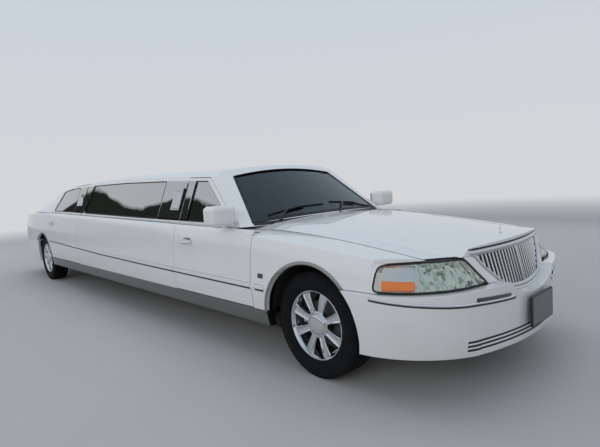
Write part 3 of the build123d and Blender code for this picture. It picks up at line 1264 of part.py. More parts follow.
def chassis_pieces():
    """Frame, floor, engine, suspension, wheels and tyres."""
    front = Pos(FRONT_AXLE_X, 0, TYRE_RADIUS)
    rear = Pos(REAR_AXLE_X, 0, TYRE_RADIUS)
    yield "chassis_frame", chassis_frame()
    yield "floor_pan", floor_pan()
    yield "engine", engine()
    yield "front_suspension", front * front_suspension()
    yield "rear_axle", rear * rear_axle()
    yield "driveshaft", driveshaft()
    yield "exhaust", exhaust()
    yield "fuel_tank", fuel_tank()
    yield from mirrored("knuckle", front * knuckle())
    yield from mirrored("front_tyre", front * tyre(TRACK_FRONT / 2))
    yield from mirrored("rear_tyre", rear * tyre(TRACK_REAR / 2))
    yield from mirrored("front_wheel", front * wheel(TRACK_FRONT / 2))
    yield from mirrored("rear_wheel", rear * wheel(TRACK_REAR / 2))


def side_pieces():
    """Doors, fixed sides and the glass in them."""
    front = door(front_door_prism, front_window())
    yield from mirrored("front_door", front + door_handle(1742.0, 843.0) + mirror_housing())
    rear = door(rear_door_prism, rear_window_side())
    yield from mirrored("rear_door", rear + door_handle(-2300.0, 925.0))
    yield from mirrored("front_door_glass", side_glass(front_window(-GLASS_GAP)))
    yield from mirrored("rear_door_glass", side_glass(rear_window_side(-GLASS_GAP)))
    yield "side_panels", both_sides(side_panel())
    yield "side_windows", both_sides(side_glass(long_window(-GLASS_GAP)))
    yield "front_fenders", both_sides(fender())
    yield "quarter_panels", both_sides(quarter())
    yield "rockers", both_sides(rocker())


def end_pieces():
    """Hood, trunk lid, lamps, grille, bumpers, roof and screens."""
    yield "hood", hood()
    yield "trunk_lid", trunk_lid()
    yield "tail_panel", tail_panel()
    yield "tail_lamps", both_sides(tail_lamp())
    yield "headlamps", both_sides(headlamp())
    yield "grille", grille()
    yield "front_bumper", front_bumper()
    yield "rear_bumper", rear_bumper()
    yield "roof", roof()
    yield "windshield", screen(screen_opening(GLASS_GAP), 1000.0, 3000.0)
    yield "rear_window", screen(backlight_opening(GLASS_GAP), -4000.0, -2000.0)
    yield "front_plate", front_plate()
    yield "cowl", cowl()
    yield "inner_fenders", inner_fenders()


def inside_pieces():
    """What fills the cabin."""
    yield "dashboard", dashboard()
    yield "steering_wheel", steering_wheel()
    yield "front_seats", front_seats()
    yield "partition", partition()
    yield "cabin_seats", cabin_seats()
    yield "bar_cabinet", bar_cabinet()


if __name__ == "__main__":
    os.makedirs("parts", exist_ok=True)
    for pieces in (chassis_pieces, side_pieces, end_pieces, inside_pieces):
        for name, shape in pieces():
            export_step(shape, "parts/" + name + ".step")
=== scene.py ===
# Stretch limousine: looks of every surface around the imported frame, in metres, +X forward, +Z up.
import json
import math
import random
import bmesh
import bpy
from mathutils import Matrix, Vector
from mathutils.bvhtree import BVHTree


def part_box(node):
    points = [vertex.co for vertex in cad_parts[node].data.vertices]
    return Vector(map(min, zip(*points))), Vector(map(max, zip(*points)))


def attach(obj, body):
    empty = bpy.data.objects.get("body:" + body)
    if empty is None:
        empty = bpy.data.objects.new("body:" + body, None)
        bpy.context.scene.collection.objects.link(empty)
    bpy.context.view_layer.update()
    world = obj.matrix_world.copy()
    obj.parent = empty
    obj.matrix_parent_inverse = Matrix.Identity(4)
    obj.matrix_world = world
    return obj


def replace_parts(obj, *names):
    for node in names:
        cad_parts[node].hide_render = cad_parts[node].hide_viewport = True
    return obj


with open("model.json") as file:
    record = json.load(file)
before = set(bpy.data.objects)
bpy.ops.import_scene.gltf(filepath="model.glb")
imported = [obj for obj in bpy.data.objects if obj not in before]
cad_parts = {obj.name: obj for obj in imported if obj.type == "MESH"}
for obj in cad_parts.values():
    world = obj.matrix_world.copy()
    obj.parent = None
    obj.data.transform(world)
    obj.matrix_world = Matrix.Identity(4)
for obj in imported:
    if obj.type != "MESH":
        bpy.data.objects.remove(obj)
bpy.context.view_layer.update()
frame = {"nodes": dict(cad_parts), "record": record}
nodes = frame["nodes"]
bodies = frame["record"]["behaviour"]["bodies"]
slots = {part["node"]: part["material_slot"] for part in frame["record"]["subparts"]}
body_of = {node: body for body, members in bodies.items() for node in members}


# The photographer's place
# The camera stands ahead of the right front wheel at chest height, close to the car, so that the nose
# looms and the long cabin runs away to the left. Its place was solved from the wheels, plate and screens.
DOWN = Vector((0.0, 0.0, -1.0))


def linked(name, data):
    """A new object in the scene."""
    thing = bpy.data.objects.new(name, data)
    bpy.context.scene.collection.objects.link(thing)
    return thing


CAMERA_PLACE = Vector((5.251, -2.878, 1.259))
CAMERA_TURN = math.radians(46.845)
CAMERA_DOWN = math.radians(4.983)
CAMERA_LEAN = math.radians(-3.734)
PICTURE_WIDTH = 600
FOCAL_PIXELS = 452.1
CENTRE_SHIFT = (2.0, 0.5)
SENSOR = 36.0


def place_camera():
    """Puts the camera where the photograph was taken."""
    lens = bpy.data.cameras.new("camera")
    lens.sensor_width = SENSOR
    lens.lens = SENSOR * FOCAL_PIXELS / PICTURE_WIDTH
    lens.shift_x = -CENTRE_SHIFT[0] / PICTURE_WIDTH
    lens.shift_y = CENTRE_SHIFT[1] / PICTURE_WIDTH
    lens.clip_end = 300.0
    level = Vector((math.cos(CAMERA_TURN), math.sin(CAMERA_TURN), 0.0))
    flat = Vector((-math.sin(CAMERA_TURN), math.cos(CAMERA_TURN), 0.0))
    look = flat * math.cos(CAMERA_DOWN) + DOWN * math.sin(CAMERA_DOWN)
    upright = level.cross(look)
    right = math.cos(CAMERA_LEAN) * level + math.sin(CAMERA_LEAN) * upright
    up = math.cos(CAMERA_LEAN) * upright - math.sin(CAMERA_LEAN) * level
    camera = linked("camera", lens)
    turn = Matrix((right, up, -look)).transposed().to_4x4()
    camera.matrix_world = Matrix.Translation(CAMERA_PLACE) @ turn
    bpy.context.scene.camera = camera


place_camera()


# Studio: a pale floor under an even sky
# A wide round floor that fades into the plain pale backdrop, an even overcast sky and large weak lamps, so
# that white paint keeps its shape. Gloss and chrome also see a low dark screen on the car's right.
def feed(tree, item, inputs):
    """Sets or links a node's inputs."""
    for key, value in inputs.items():
        if isinstance(value, bpy.types.NodeSocket):
            tree.links.new(value, item.inputs[key])
        else:
            item.inputs[key].default_value = value


def added(tree, kind, inputs, **settings):
    """Adds a node with its settings and inputs; returns its outputs."""
    item = tree.nodes.new(kind)
    for name, value in settings.items():
        setattr(item, name, value)
    feed(tree, item, inputs)
    return item.outputs


def worked(tree, operation, *values):
    """Result of a sum on numbers or other nodes' outputs."""
    return added(tree, "ShaderNodeMath", dict(enumerate(values)), operation=operation)[0]


def texture_place(tree, kind="Object"):
    """Coordinates of the shaded point."""
    return added(tree, "ShaderNodeTexCoord", {})[kind]


def axis_of(tree, vector, axis):
    """One axis of a vector."""
    return added(tree, "ShaderNodeSeparateXYZ", {0: vector})[axis]


def grained(tree, place, scale, detail=2.0):
    """Noise at a place; returns its factor."""
    return added(tree, "ShaderNodeTexNoise", {"Vector": place, "Scale": scale, "Detail": detail})["Fac"]


def remap(tree, value, low, high, start=0.3, end=0.7, curve="LINEAR"):
    """Value spread from the span start to end onto low to high."""
    inputs = {"Value": value, "From Min": start, "From Max": end, "To Min": low, "To Max": high}
    return added(tree, "ShaderNodeMapRange", inputs, interpolation_type=curve)["Result"]


def blend(tree, factor, first, second):
    """Colour from the first to the second by factor; the first may be another node's output."""
    first = (*first, 1.0) if isinstance(first, tuple) else first
    inputs = {"A": first, "B": (*second, 1.0), "Factor": factor}
    return added(tree, "ShaderNodeMix", inputs, data_type="RGBA")["Result"]


def mixed(tree, factor, first, second):
    """Mix of two shaders."""
    return added(tree, "ShaderNodeMixShader", {"Fac": factor, 1: first, 2: second})[0]


def shader(name, colour, roughness, metallic=0.0, coat=0.0, coat_roughness=0.03):
    """A material with its plain numbers set; returns it with its tree and its shader node."""
    material = bpy.data.materials.new(name)
    material.use_nodes = True
    material.diffuse_color = (*colour, 1.0)
    tree = material.node_tree
    base = tree.nodes["Principled BSDF"]
    feed(tree, base, {"Base Color": (*colour, 1.0), "Roughness": roughness, "Metallic": metallic,
                      "Coat Weight": coat, "Coat Roughness": coat_roughness})
    return material, tree, base


def written(shape, mesh, smooth=None):
    """Writes a shape to a mesh, or to a new mesh of that name, with the faces' shading."""
    mesh = bpy.data.meshes.new(mesh) if isinstance(mesh, str) else mesh
    shape.to_mesh(mesh)
    shape.free()
    return mesh if smooth is None else shaded(mesh, smooth)


def shaded(mesh, smooth=True):
    """Sets every face of a mesh to smooth or flat."""
    for face in mesh.polygons:
        face.use_smooth = smooth
    return mesh


FLOOR_COLOUR = (0.50, 0.50, 0.495)
BACKDROP_COLOUR = (0.66, 0.67, 0.68)
ZENITH_COLOUR = (0.46, 0.60, 0.76)
SKY_ROWS = [(0.0, (0.30, 0.30, 0.29)), (0.48, (0.34, 0.34, 0.33)), (0.52, (0.69, 0.68, 0.67)),
            (0.66, (0.64, 0.67, 0.70)), (1.0, (0.48, 0.59, 0.72))]
SKY_STRENGTH = 0.74
SCREEN_COLOUR = (0.050, 0.056, 0.052)
SCREEN_EDGE = (0.100, 0.060)
SCREEN_SOFT = 0.020
SCREEN_SIDE = (0.20, -0.98, 0.0)
SCREEN_SPAN = (-0.05, 0.30)
FLOOR_FADE = (7.0, 21.0)
FLOOR_RADIUS = 60.0
LAMPS = [("lamp_top", (0.0, 0.0, 6.5), 9.0, 5.0, 110.0), ("lamp_right", (5.0, -8.0, 3.6), 7.0, 2.6, 150.0),
         ("lamp_left", (2.0, 8.0, 3.5), 8.0, 2.5, 60.0), ("lamp_rear", (-9.0, -3.0, 3.6), 5.0, 2.6, 80.0)]


def studio_sky():
    """World: an overcast sky lights the car; camera, gloss and glass see the pale backdrop, and gloss
    sees the dark screen low down in front of it."""
    world = bpy.data.worlds.new("studio")
    world.use_nodes = True
    bpy.context.scene.world = world
    tree = world.node_tree
    tree.nodes.clear()
    way = texture_place(tree, "Generated")
    upward = axis_of(tree, way, "Z")
    ramp = tree.nodes.new("ShaderNodeValToRGB")
    feed(tree, ramp, {"Fac": remap(tree, upward, 0.0, 1.0, -1.0, 1.0)})
    while len(ramp.color_ramp.elements) < len(SKY_ROWS):
        ramp.color_ramp.elements.new(0.5)
    for stop, (position, colour) in zip(ramp.color_ramp.elements, SKY_ROWS):
        stop.position = position
        stop.color = (*colour, 1.0)
    sky = added(tree, "ShaderNodeBackground", {"Strength": SKY_STRENGTH, "Color": ramp.outputs["Color"]})[0]
    middle, ragged = SCREEN_EDGE
    edge = worked(tree, "MULTIPLY_ADD", grained(tree, way, 7.0, 5.0), ragged * 2.0, middle - ragged)
    low = remap(tree, worked(tree, "SUBTRACT", edge, upward), 0.0, 1.0, -SCREEN_SOFT, SCREEN_SOFT)
    along = added(tree, "ShaderNodeVectorMath", {0: way, 1: SCREEN_SIDE}, operation="DOT_PRODUCT")["Value"]
    flank = remap(tree, along, 0.0, 1.0, *SCREEN_SPAN, "SMOOTHSTEP")
    ray = added(tree, "ShaderNodeLightPath", {})
    seen = worked(tree, "MULTIPLY", worked(tree, "MULTIPLY", low, flank), ray["Is Glossy Ray"])
    tone = blend(tree, seen, blend(tree, upward, BACKDROP_COLOUR, ZENITH_COLOUR), SCREEN_COLOUR)
    backdrop = added(tree, "ShaderNodeBackground", {"Color": tone})[0]
    direct = worked(tree, "MAXIMUM", ray["Is Camera Ray"], ray["Is Glossy Ray"])
    direct = worked(tree, "MAXIMUM", direct, ray["Is Transmission Ray"])
    added(tree, "ShaderNodeOutputWorld", {"Surface": mixed(tree, direct, sky, backdrop)})


def studio_floor():
    """Round floor whose colour turns to the backdrop's far from the car."""
    shape = bmesh.new()
    bmesh.ops.create_circle(shape, cap_ends=True, segments=96, radius=FLOOR_RADIUS)
    floor = linked("floor", written(shape, "floor"))
    material, tree, base = shader("floor", FLOOR_COLOUR, 0.75)
    place = texture_place(tree)
    tones = [tuple(share * part for part in FLOOR_COLOUR) for share in (0.97, 1.03)]
    feed(tree, base, {"Base Color": blend(tree, grained(tree, place, 1.7), *tones)})
    distance = added(tree, "ShaderNodeVectorMath", {0: place}, operation="LENGTH")["Value"]
    fade = remap(tree, distance, 0.0, 1.0, *FLOOR_FADE, "SMOOTHSTEP")
    glossy = added(tree, "ShaderNodeLightPath", {})["Is Glossy Ray"]
    share = worked(tree, "MULTIPLY", fade, worked(tree, "SUBTRACT", 1.0, glossy))
    glow = added(tree, "ShaderNodeEmission", {"Color": (*BACKDROP_COLOUR, 1.0)})[0]
    mix = mixed(tree, share, base.outputs[0], glow)
    feed(tree, tree.nodes["Material Output"], {"Surface": mix})
    floor.data.materials.append(material)


def studio_lamps():
    """Large soft lamps, each turned towards the car's middle."""
    for name, place, width, depth, power in LAMPS:
        light = bpy.data.lights.new(name, "AREA")
        light.shape = "RECTANGLE"
        light.size = width
        light.size_y = depth
        light.energy = power
        lamp = linked(name, light)
        lamp.location = place
        aim = Vector((place[0] * 0.4, 0.0, 0.6)) - Vector(place)
        lamp.rotation_euler = aim.to_track_quat("-Z", "Y").to_euler()
        lamp.visible_glossy = False


studio_sky()
studio_floor()
studio_lamps()
bpy.context.scene.view_settings.view_transform = "Standard"


# White body panels
# Pressed steel with a gloss two pack white and clear lacquer: hood, fenders, doors, quarters, roof,
# trunk lid and bumper covers, with edges rolled over to a small radius, and a darker, warmer grey in patches
# low on the sides.
WELD = 0.00002
ROLL_ANGLE = math.radians(32.0)


def noise(tree, scale, detail=3.0, stretch=(1.0, 1.0, 1.0)):
    """Noise on object coordinates, stretched per axis; returns its factor."""
    fit = added(tree, "ShaderNodeMapping", {"Vector": texture_place(tree), "Scale": stretch})
    return grained(tree, fit["Vector"], scale, detail)


def relief(tree, value, strength, distance):
    """Normal from a value's slope."""
    inputs = {"Height": value, "Strength": strength, "Distance": distance}
    return added(tree, "ShaderNodeBump", inputs)["Normal"]


def opened(*meshes):
    """An editable shape of one or more meshes."""
    shape = bmesh.new()
    for mesh in meshes:
        shape.from_mesh(mesh)
    return shape


def modified(thing, name, kind, **settings):
    """Adds a modifier with its settings."""
    item = thing.modifiers.new(name, kind)
    for key, value in settings.items():
        setattr(item, key, value)
    return item


def piece(mesh, material, body, slot, name=None):
    """Links a finished mesh as a piece that rides on a body."""
    thing = linked(name or mesh.name, mesh)
    mesh.materials.clear()
    mesh.materials.append(material)
    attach(thing, body)
    return thing


def rolled(node, material, roll, drop=None):
    """Stands for a CAD node: the same faces with doubles merged and sharp edges rolled over."""
    shape = opened(nodes[node].data)
    bmesh.ops.remove_doubles(shape, verts=shape.verts, dist=WELD)
    bmesh.ops.dissolve_degenerate(shape, edges=shape.edges, dist=WELD)
    if drop is not None:
        gone = [face for face in shape.faces if drop(face.calc_center_median(), face.normal)]
        bmesh.ops.delete(shape, geom=gone, context="FACES")
    thing = piece(written(shape, node + "_skin", True), material, body_of[node], slots[node])
    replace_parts(thing, node)
    modified(thing, "roll", "BEVEL", width=roll, segments=2, limit_method="ANGLE",
             angle_limit=ROLL_ANGLE, harden_normals=False)
    modified(thing, "even", "WEIGHTED_NORMAL", keep_sharp=True)


PAINT_WHITE = (0.76, 0.775, 0.785)
PAINT_LOW = (0.66, 0.665, 0.655)
LOW_GREY_HEIGHTS = (0.28, 0.62)
EDGE_ROLL = 0.0022
PANELS = ["hood", "front_fenders", "quarter_panels", "side_panels", "roof", "trunk_lid", "tail_panel",
          "front_bumper", "rear_bumper", "front_door_left", "front_door_right", "rear_door_left",
          "rear_door_right"]


def body_paint():
    """Gloss white with a little lacquer ripple, turning to a darker, warmer grey in patches low on the sides.
    """
    material, tree, base = shader("paint_white", PAINT_WHITE, 0.32, coat=1.0, coat_roughness=0.035)
    low = remap(tree, axis_of(tree, texture_place(tree), "Z"), 1.0, 0.0, *LOW_GREY_HEIGHTS)
    patches = remap(tree, noise(tree, 5.0, 4.0, (0.4, 1.0, 1.0)), 0.35, 1.0)
    blend_share = worked(tree, "MULTIPLY", low, patches)
    ripple = relief(tree, noise(tree, 190.0, 2.0), 0.05, 0.0006)
    feed(tree, base, {"Base Color": blend(tree, blend_share, PAINT_WHITE, PAINT_LOW), "Normal": ripple,
                      "Coat Normal": ripple})
    return material


white = body_paint()
for panel in PANELS:
    rolled(panel, white, EDGE_ROLL)


# Glass
# Tinted panes: see-through by their tint and bright by their shine, which grows towards a flat angle. The
# side panes' shine is strong at every angle and carries a painted reflection of a pale sky above a ragged
# line of dark trees.
def dress(finish, *names):
    """Gives CAD pieces that stay as they are their finish."""
    for name in names:
        nodes[name].data.materials.clear()
        nodes[name].data.materials.append(finish)


GLASS_INDEX = 1.5
TREE_EDGE = (-0.004, 0.076)
TREE_RISE = 0.76
TREE_SOFT = 0.006
TREE_COLOUR, HAZE_COLOUR = (0.035, 0.038, 0.030), (1.0, 0.99, 0.95)
# Least share of the side panes' shine, which also carries a painted reflection of sky and trees.
SIDE_SHINE_WITH_PAINTED_TREES = 0.55


def painted_tree_reflection(tree):
    """Painted reflection in a side pane's shine, coloured by where it looks: trees low down, higher towards
    the front.
    """
    look = texture_place(tree, "Reflection")
    edge = remap(tree, grained(tree, look, 8.0, 6.0), *TREE_EDGE, 0.2, 0.8)
    aside = worked(tree, "ABSOLUTE", axis_of(tree, look, "Y"))
    top = worked(tree, "MULTIPLY_ADD", aside, TREE_RISE, edge)
    above = worked(tree, "SUBTRACT", axis_of(tree, look, "Z"), top)
    return blend(tree, remap(tree, above, 0.0, 1.0, -TREE_SOFT, TREE_SOFT), TREE_COLOUR, HAZE_COLOUR)


def pane(name, tint, shine_roughness=0.01, blend_share=0.0, solid=False):
    """Glass that passes its tint and mirrors the surroundings by the viewing angle."""
    material, tree, base = shader(name, tint, 0.0)
    tree.nodes.remove(base)
    kind = "ShaderNodeBsdfDiffuse" if solid else "ShaderNodeBsdfTransparent"
    through = added(tree, kind, {"Color": (*tint, 1.0)})[0]
    waves = relief(tree, noise(tree, 1.1, 1.0), 0.02, 0.02)
    backward = added(tree, "ShaderNodeNewGeometry", {})["Backfacing"]
    index = worked(tree, "POWER", GLASS_INDEX, worked(tree, "MULTIPLY_ADD", backward, -2.0, 1.0))
    angle = added(tree, "ShaderNodeFresnel", {"IOR": index, "Normal": waves})[0]
    # A side pane's shine is coloured with a painted reflection of sky and trees, and stays strong at every
    # angle.
    colour = painted_tree_reflection(tree) if blend_share else (1.0, 1.0, 1.0, 1.0)
    inputs = {"Roughness": shine_roughness, "Color": colour, "Normal": waves}
    shine = added(tree, "ShaderNodeBsdfGlossy", inputs)[0]
    mix = mixed(tree, remap(tree, angle, blend_share, 1.0, 0.0, 1.0), through, shine)
    feed(tree, tree.nodes["Material Output"], {"Surface": mix})
    return material


screen_glass = pane("screen_glass", (0.36, 0.50, 0.52))
front_glass = pane("front_glass", (0.36, 0.44, 0.43), blend_share=SIDE_SHINE_WITH_PAINTED_TREES)
dark_glass = pane("dark_glass", (0.10, 0.105, 0.11), blend_share=SIDE_SHINE_WITH_PAINTED_TREES)
dress(screen_glass, "windshield")
dress(front_glass, "front_door_glass_left", "front_door_glass_right")
dress(dark_glass, "side_windows", "rear_door_glass_left", "rear_door_glass_right", "rear_window")


# Plain finishes of the CAD pieces that stay as they are
# Frame, floor, axles, tank and exhaust below; dash, partition and bar inside; cowl, plate holder and
# rockers outside.
ALONG_GRAIN = (0.02, 1.0, 1.0)


def rocker_sheet():
    """Duller stainless that darkens towards its lower edge, where it mirrors the road's shade."""
    material, tree, base = shader("rocker_steel", (0.30, 0.30, 0.28), 0.30, metallic=1.0)
    up = remap(tree, axis_of(tree, texture_place(tree), "Z"), 0.0, 1.0, 0.255, 0.300)
    feed(tree, base, {"Base Color": blend(tree, up, (0.030, 0.029, 0.026), (0.26, 0.26, 0.24)),
                      "Normal": relief(tree, noise(tree, 420.0, 2.0, ALONG_GRAIN), 0.06, 0.0004)})
    return material


def moulded(name, colour, roughness, grain_scale, grain_depth, coat=0.0):
    """Moulding with a fine grain."""
    material, tree, base = shader(name, colour, roughness, coat=coat)
    grain = noise(tree, grain_scale, 3.0)
    rough = remap(tree, grain, roughness * 0.85, min(1.0, roughness * 1.15))
    feed(tree, base, {"Roughness": rough, "Normal": relief(tree, grain, 0.25, grain_depth)})
    return material


rocker_steel = rocker_sheet()
black_trim = moulded("black_trim", (0.018, 0.018, 0.019), 0.42, 900.0, 0.0003)
underbody = moulded("underbody", (0.022, 0.022, 0.021), 0.75, 120.0, 0.0012)
casting = moulded("casting", (0.16, 0.16, 0.16), 0.55, 220.0, 0.0006)
grey_trim = moulded("grey_trim", (0.085, 0.082, 0.080), 0.6, 700.0, 0.0004)
carpet = moulded("carpet", (0.03, 0.03, 0.031), 0.95, 1400.0, 0.002)
veneer = moulded("veneer", (0.09, 0.035, 0.018), 0.18, 40.0, 0.0002, coat=1.0)
dress(underbody, "chassis_frame", "inner_fenders", "front_suspension", "fuel_tank")
dress(casting, "engine", "rear_axle", "knuckle_left", "knuckle_right", "driveshaft", "exhaust")
dress(grey_trim, "dashboard", "steering_wheel", "partition")
for node, finish in [("floor_pan", carpet), ("rockers", rocker_steel), ("cowl", white),
                     ("front_plate", black_trim), ("bar_cabinet", veneer)]:
    dress(finish, node)


# Black seals round the panes
# An extruded rubber lip along every window edge. On the windscreen and the rear window it is a wide black
# border on the glass.
seal_rubber = moulded("seal_rubber", (0.011, 0.011, 0.012), 0.55, 500.0, 0.0003)
SIDES = [(1.0, "left"), (-1.0, "right")]


def trim(name, path, section, finish, body, slot, closed_loop=False):
    """A strip along a path as a piece of its own."""
    return piece(strip(name, path, section, closed_loop), finish, body, slot, name)


def mesh_from(name, points, faces):
    """A smooth mesh from points and faces, turned to face outwards."""
    mesh = bpy.data.meshes.new(name)
    mesh.from_pydata([tuple(point) for point in points], [], faces)
    shape = opened(mesh)
    bmesh.ops.remove_doubles(shape, verts=shape.verts, dist=0.00001)
    bmesh.ops.recalc_face_normals(shape, faces=shape.faces)
    return written(shape, mesh, True)


def loop_faces(rings, rows, closed_loop=True, closed_section=True):
    """Faces between neighbouring rings of points, each ring with as many rows."""
    faces = []
    for index in range(rings if closed_loop else rings - 1):
        here, there = index * rows, ((index + 1) % rings) * rows
        for k in range(rows if closed_section else rows - 1):
            onward = (k + 1) % rows
            faces.append((here + k, here + onward, there + onward, there + k))
    return faces


def strip(name, path, section, closed_loop=False):
    """Sweeps a closed section along a path of (point, outward normal); section rows are (across, out)."""
    points = []
    count, rows = len(path), len(section)
    for index, (place, outward) in enumerate(path):
        before = path[index - 1][0] if index or closed_loop else place
        after = path[(index + 1) % count][0] if index < count - 1 or closed_loop else place
        across = (after - before).normalized().cross(outward).normalized()
        points += [place + across * a + outward * b for a, b in section]
    faces = loop_faces(count, rows, closed_loop)
    if not closed_loop:
        faces += [tuple(range(rows)), tuple(range((count - 1) * rows, count * rows))]
    return mesh_from(name, points, faces)


SEAL_WIDTH = 0.011
SCREEN_BORDER = 0.030
SEAL_SPACING = 0.012
FACING_SHARE = 0.35
SHORTEST_LOOP = 8
SCREEN_WAYS = {"windshield": Vector((0.6, 0.0, 0.8)), "rear_window": Vector((-0.45, 0.0, 0.9))}


def pane_loops(node, outward, keep):
    """Edge loops of a pane's outer face, each a list of (point, normal); keep picks the faces by centre."""
    shape = opened(nodes[node].data)
    bmesh.ops.remove_doubles(shape, verts=shape.verts, dist=WELD)
    outer = {face for face in shape.faces
             if face.normal.dot(outward) > FACING_SHARE and keep(face.calc_center_median())}
    links = {}
    for edge in shape.edges:
        if sum(face in outer for face in edge.link_faces) == 1:
            first, second = edge.verts
            links.setdefault(first, []).append(second)
            links.setdefault(second, []).append(first)
    facing = {}
    for vert in links:
        around = [face.normal for face in vert.link_faces if face in outer]
        facing[vert] = sum(around, Vector()).normalized()
    loops = []
    while links:
        start = next(iter(links))
        chain, here = [start], start
        while True:
            onward = [vert for vert in links.get(here, []) if vert not in chain[-2:]]
            onward = [vert for vert in onward if vert is start or vert not in chain]
            if not onward or onward[0] is start:
                break
            here = onward[0]
            chain.append(here)
        loops.append([(vert.co.copy(), facing[vert].copy()) for vert in chain])
        for vert in chain:
            links.pop(vert, None)
    shape.free()
    return [loop for loop in loops if len(loop) > SHORTEST_LOOP]


def even_loop(loop, spacing):
    """The same loop with points at an even spacing; it runs so that across points inwards."""
    points = [item[0] for item in loop]
    centre = sum(points, Vector()) / len(points)
    turning = 0.0
    for index, (place, outward) in enumerate(loop):
        along = points[(index + 1) % len(points)] - place
        turning += along.cross(outward).dot(centre - place)
    if turning < 0.0:
        loop = loop[::-1]
    result, carried = [], 0.0
    for index, (place, outward) in enumerate(loop):
        onward, onward_normal = loop[(index + 1) % len(loop)]
        length = (onward - place).length
        while carried < length:
            share = carried / length
            result.append((place.lerp(onward, share), outward.lerp(onward_normal, share).normalized()))
            carried += spacing
        carried -= length
    return result


def pane_seal(node, outward, width, keep=lambda centre: True, number=""):
    """Rubber lip along a pane's edge."""
    section = [(-0.0015, -0.003), (width, -0.002), (width, 0.0012), (width * 0.5, 0.0035), (-0.0015, 0.0042)]
    for loop in pane_loops(node, outward, keep):
        path = even_loop(loop, SEAL_SPACING)
        trim(node + "_seal" + number, path, section, seal_rubber, body_of[node], "black_plastic", True)


for node, outward in SCREEN_WAYS.items():
    pane_seal(node, outward, SCREEN_BORDER)
for side, side_name in SIDES:
    outward = Vector((0.0, side, 0.0))
    pane_seal("front_door_glass_" + side_name, outward, SEAL_WIDTH)
    pane_seal("rear_door_glass_" + side_name, outward, SEAL_WIDTH)
    pane_seal("side_windows", outward, SEAL_WIDTH, lambda centre: centre.y * side > 0.0, "_" + side_name)


# Glossy black covers over the pillars
# Thin acrylic sheets that join the front door's window, the long window and the rear door's window into
# one dark band. They follow the side's surface and are split at the doors' shut lines.
# The covers' shine carries the same painted reflection of sky and trees as the side panes.
cover_glass = pane("cover_glass", (0.010, 0.011, 0.012), blend_share=SIDE_SHINE_WITH_PAINTED_TREES, solid=True)


def ray_tree(*names):
    """Search tree over the faces of CAD nodes, for laying trim on their surfaces."""
    shape = opened(*[nodes[name].data for name in names])
    tree = BVHTree.FromBMesh(shape)
    shape.free()
    return tree


def met(tree, start, way, lift=0.0):
    """Point, lifted off the surface, and outward normal where a ray meets the faces, or None."""
    hit, normal, _, _ = tree.ray_cast(start, way)
    if hit is None:
        return None
    if normal.dot(way) > 0.0:
        normal = -normal
    return hit + normal * lift, normal


def from_side(tree, side, x, z, lift=0.0):
    """The same for a level ray from the car's side."""
    return met(tree, Vector((x, side * 2.0, z)), Vector((0.0, -side, 0.0)), lift)


def grid_faces(columns, lines):
    """Faces of a grid of points laid line by line."""
    corners = [line * (columns + 1) + column for line in range(lines) for column in range(columns)]
    return [(here, here + 1, here + columns + 2, here + columns + 1) for here in corners]


BELT_X, BELT_Z, BELT_SLOPE = 2.54, 0.958, 0.0245
PEAK_X, PEAK_Z, PEAK_FALL = -0.95, 1.417, 106.0
COVER_LOW, COVER_HIGH = 0.022, 0.002
COVER_LIFT, COVER_SHEET = 0.0022, 0.0016
INSIDE_Y = 0.70
INWARD_STEPS = (0.012, 0.024, 0.036, 0.048)
COVERS = [("front_door", 1.630, 1.630, 1.516, 1.516), ("body", 1.508, 1.508, 1.076, 1.076),
          ("body", -1.066, -0.912, -1.147, -1.147), ("rear_door", -1.153, -1.153, -1.464, -1.464)]
side_tree = ray_tree("side_panels", "front_door_left", "front_door_right", "rear_door_left",
                     "rear_door_right", "roof", "front_fenders", "quarter_panels")


def belt(x):
    """Height of the line under the windows."""
    return BELT_Z + (BELT_X - x) * BELT_SLOPE


def window_top(x):
    """Height of the windows' upper edge."""
    return PEAK_Z - (x - PEAK_X) ** 2 / PEAK_FALL


def between(a, b, share):
    """Value a share of the way from a to b."""
    return a + (b - a) * share


def laid_patch(name, side, corner, columns, rows, lift, sheet):
    """Sheet that follows the side; corner(u, v) gives x and z for u along the car and v upwards. Where a
    ray goes in through a window opening, the skin a little nearer the sheet's middle counts."""
    points = []
    for row in range(rows + 1):
        for column in range(columns + 1):
            x, z = corner(column / columns, row / rows)
            found = from_side(side_tree, side, x, z, lift)
            for inward in INWARD_STEPS:
                if found is None or abs(found[0].y) < INSIDE_Y:
                    step = math.copysign(inward, corner(0.5, row / rows)[0] - x)
                    near = from_side(side_tree, side, x + step, z, lift)
                    found = (near[0] - Vector((step, 0.0, 0.0)), near[1]) if near else None
            points.append(found[0] if found else points[-1])
    mesh = mesh_from(name, points, grid_faces(columns, rows))
    shape = opened(mesh)
    if sum((face.normal.y for face in shape.faces)) * side < 0.0:
        bmesh.ops.reverse_faces(shape, faces=shape.faces)
    back = bmesh.ops.extrude_face_region(shape, geom=shape.faces[:])
    moved = [item for item in back["geom"] if isinstance(item, bmesh.types.BMVert)]
    bmesh.ops.translate(shape, verts=moved, vec=(0.0, -side * sheet, 0.0))
    bmesh.ops.recalc_face_normals(shape, faces=shape.faces)
    return written(shape, mesh)


def door_body(kind, side_name):
    """The moving body that a piece of trim sits on."""
    return kind if kind == "body" else kind + "_" + side_name


for side, side_name in SIDES:
    for number, (kind, *ends) in enumerate(COVERS):
        def corner(u, v, low_front=ends[0], top_front=ends[1], low_rear=ends[2], top_rear=ends[3]):
            """Place on the cover between its slanted front and rear edges."""
            x = between(low_front, top_front, v) * (1.0 - u) + between(low_rear, top_rear, v) * u
            return x, between(belt(x) + COVER_LOW, window_top(x) - COVER_HIGH, v)
        mesh = laid_patch(f"pillar_cover_{number}_{side_name}", side, corner, 24, 16, COVER_LIFT, COVER_SHEET)
        piece(mesh, cover_glass, door_body(kind, side_name), "dark_glass")


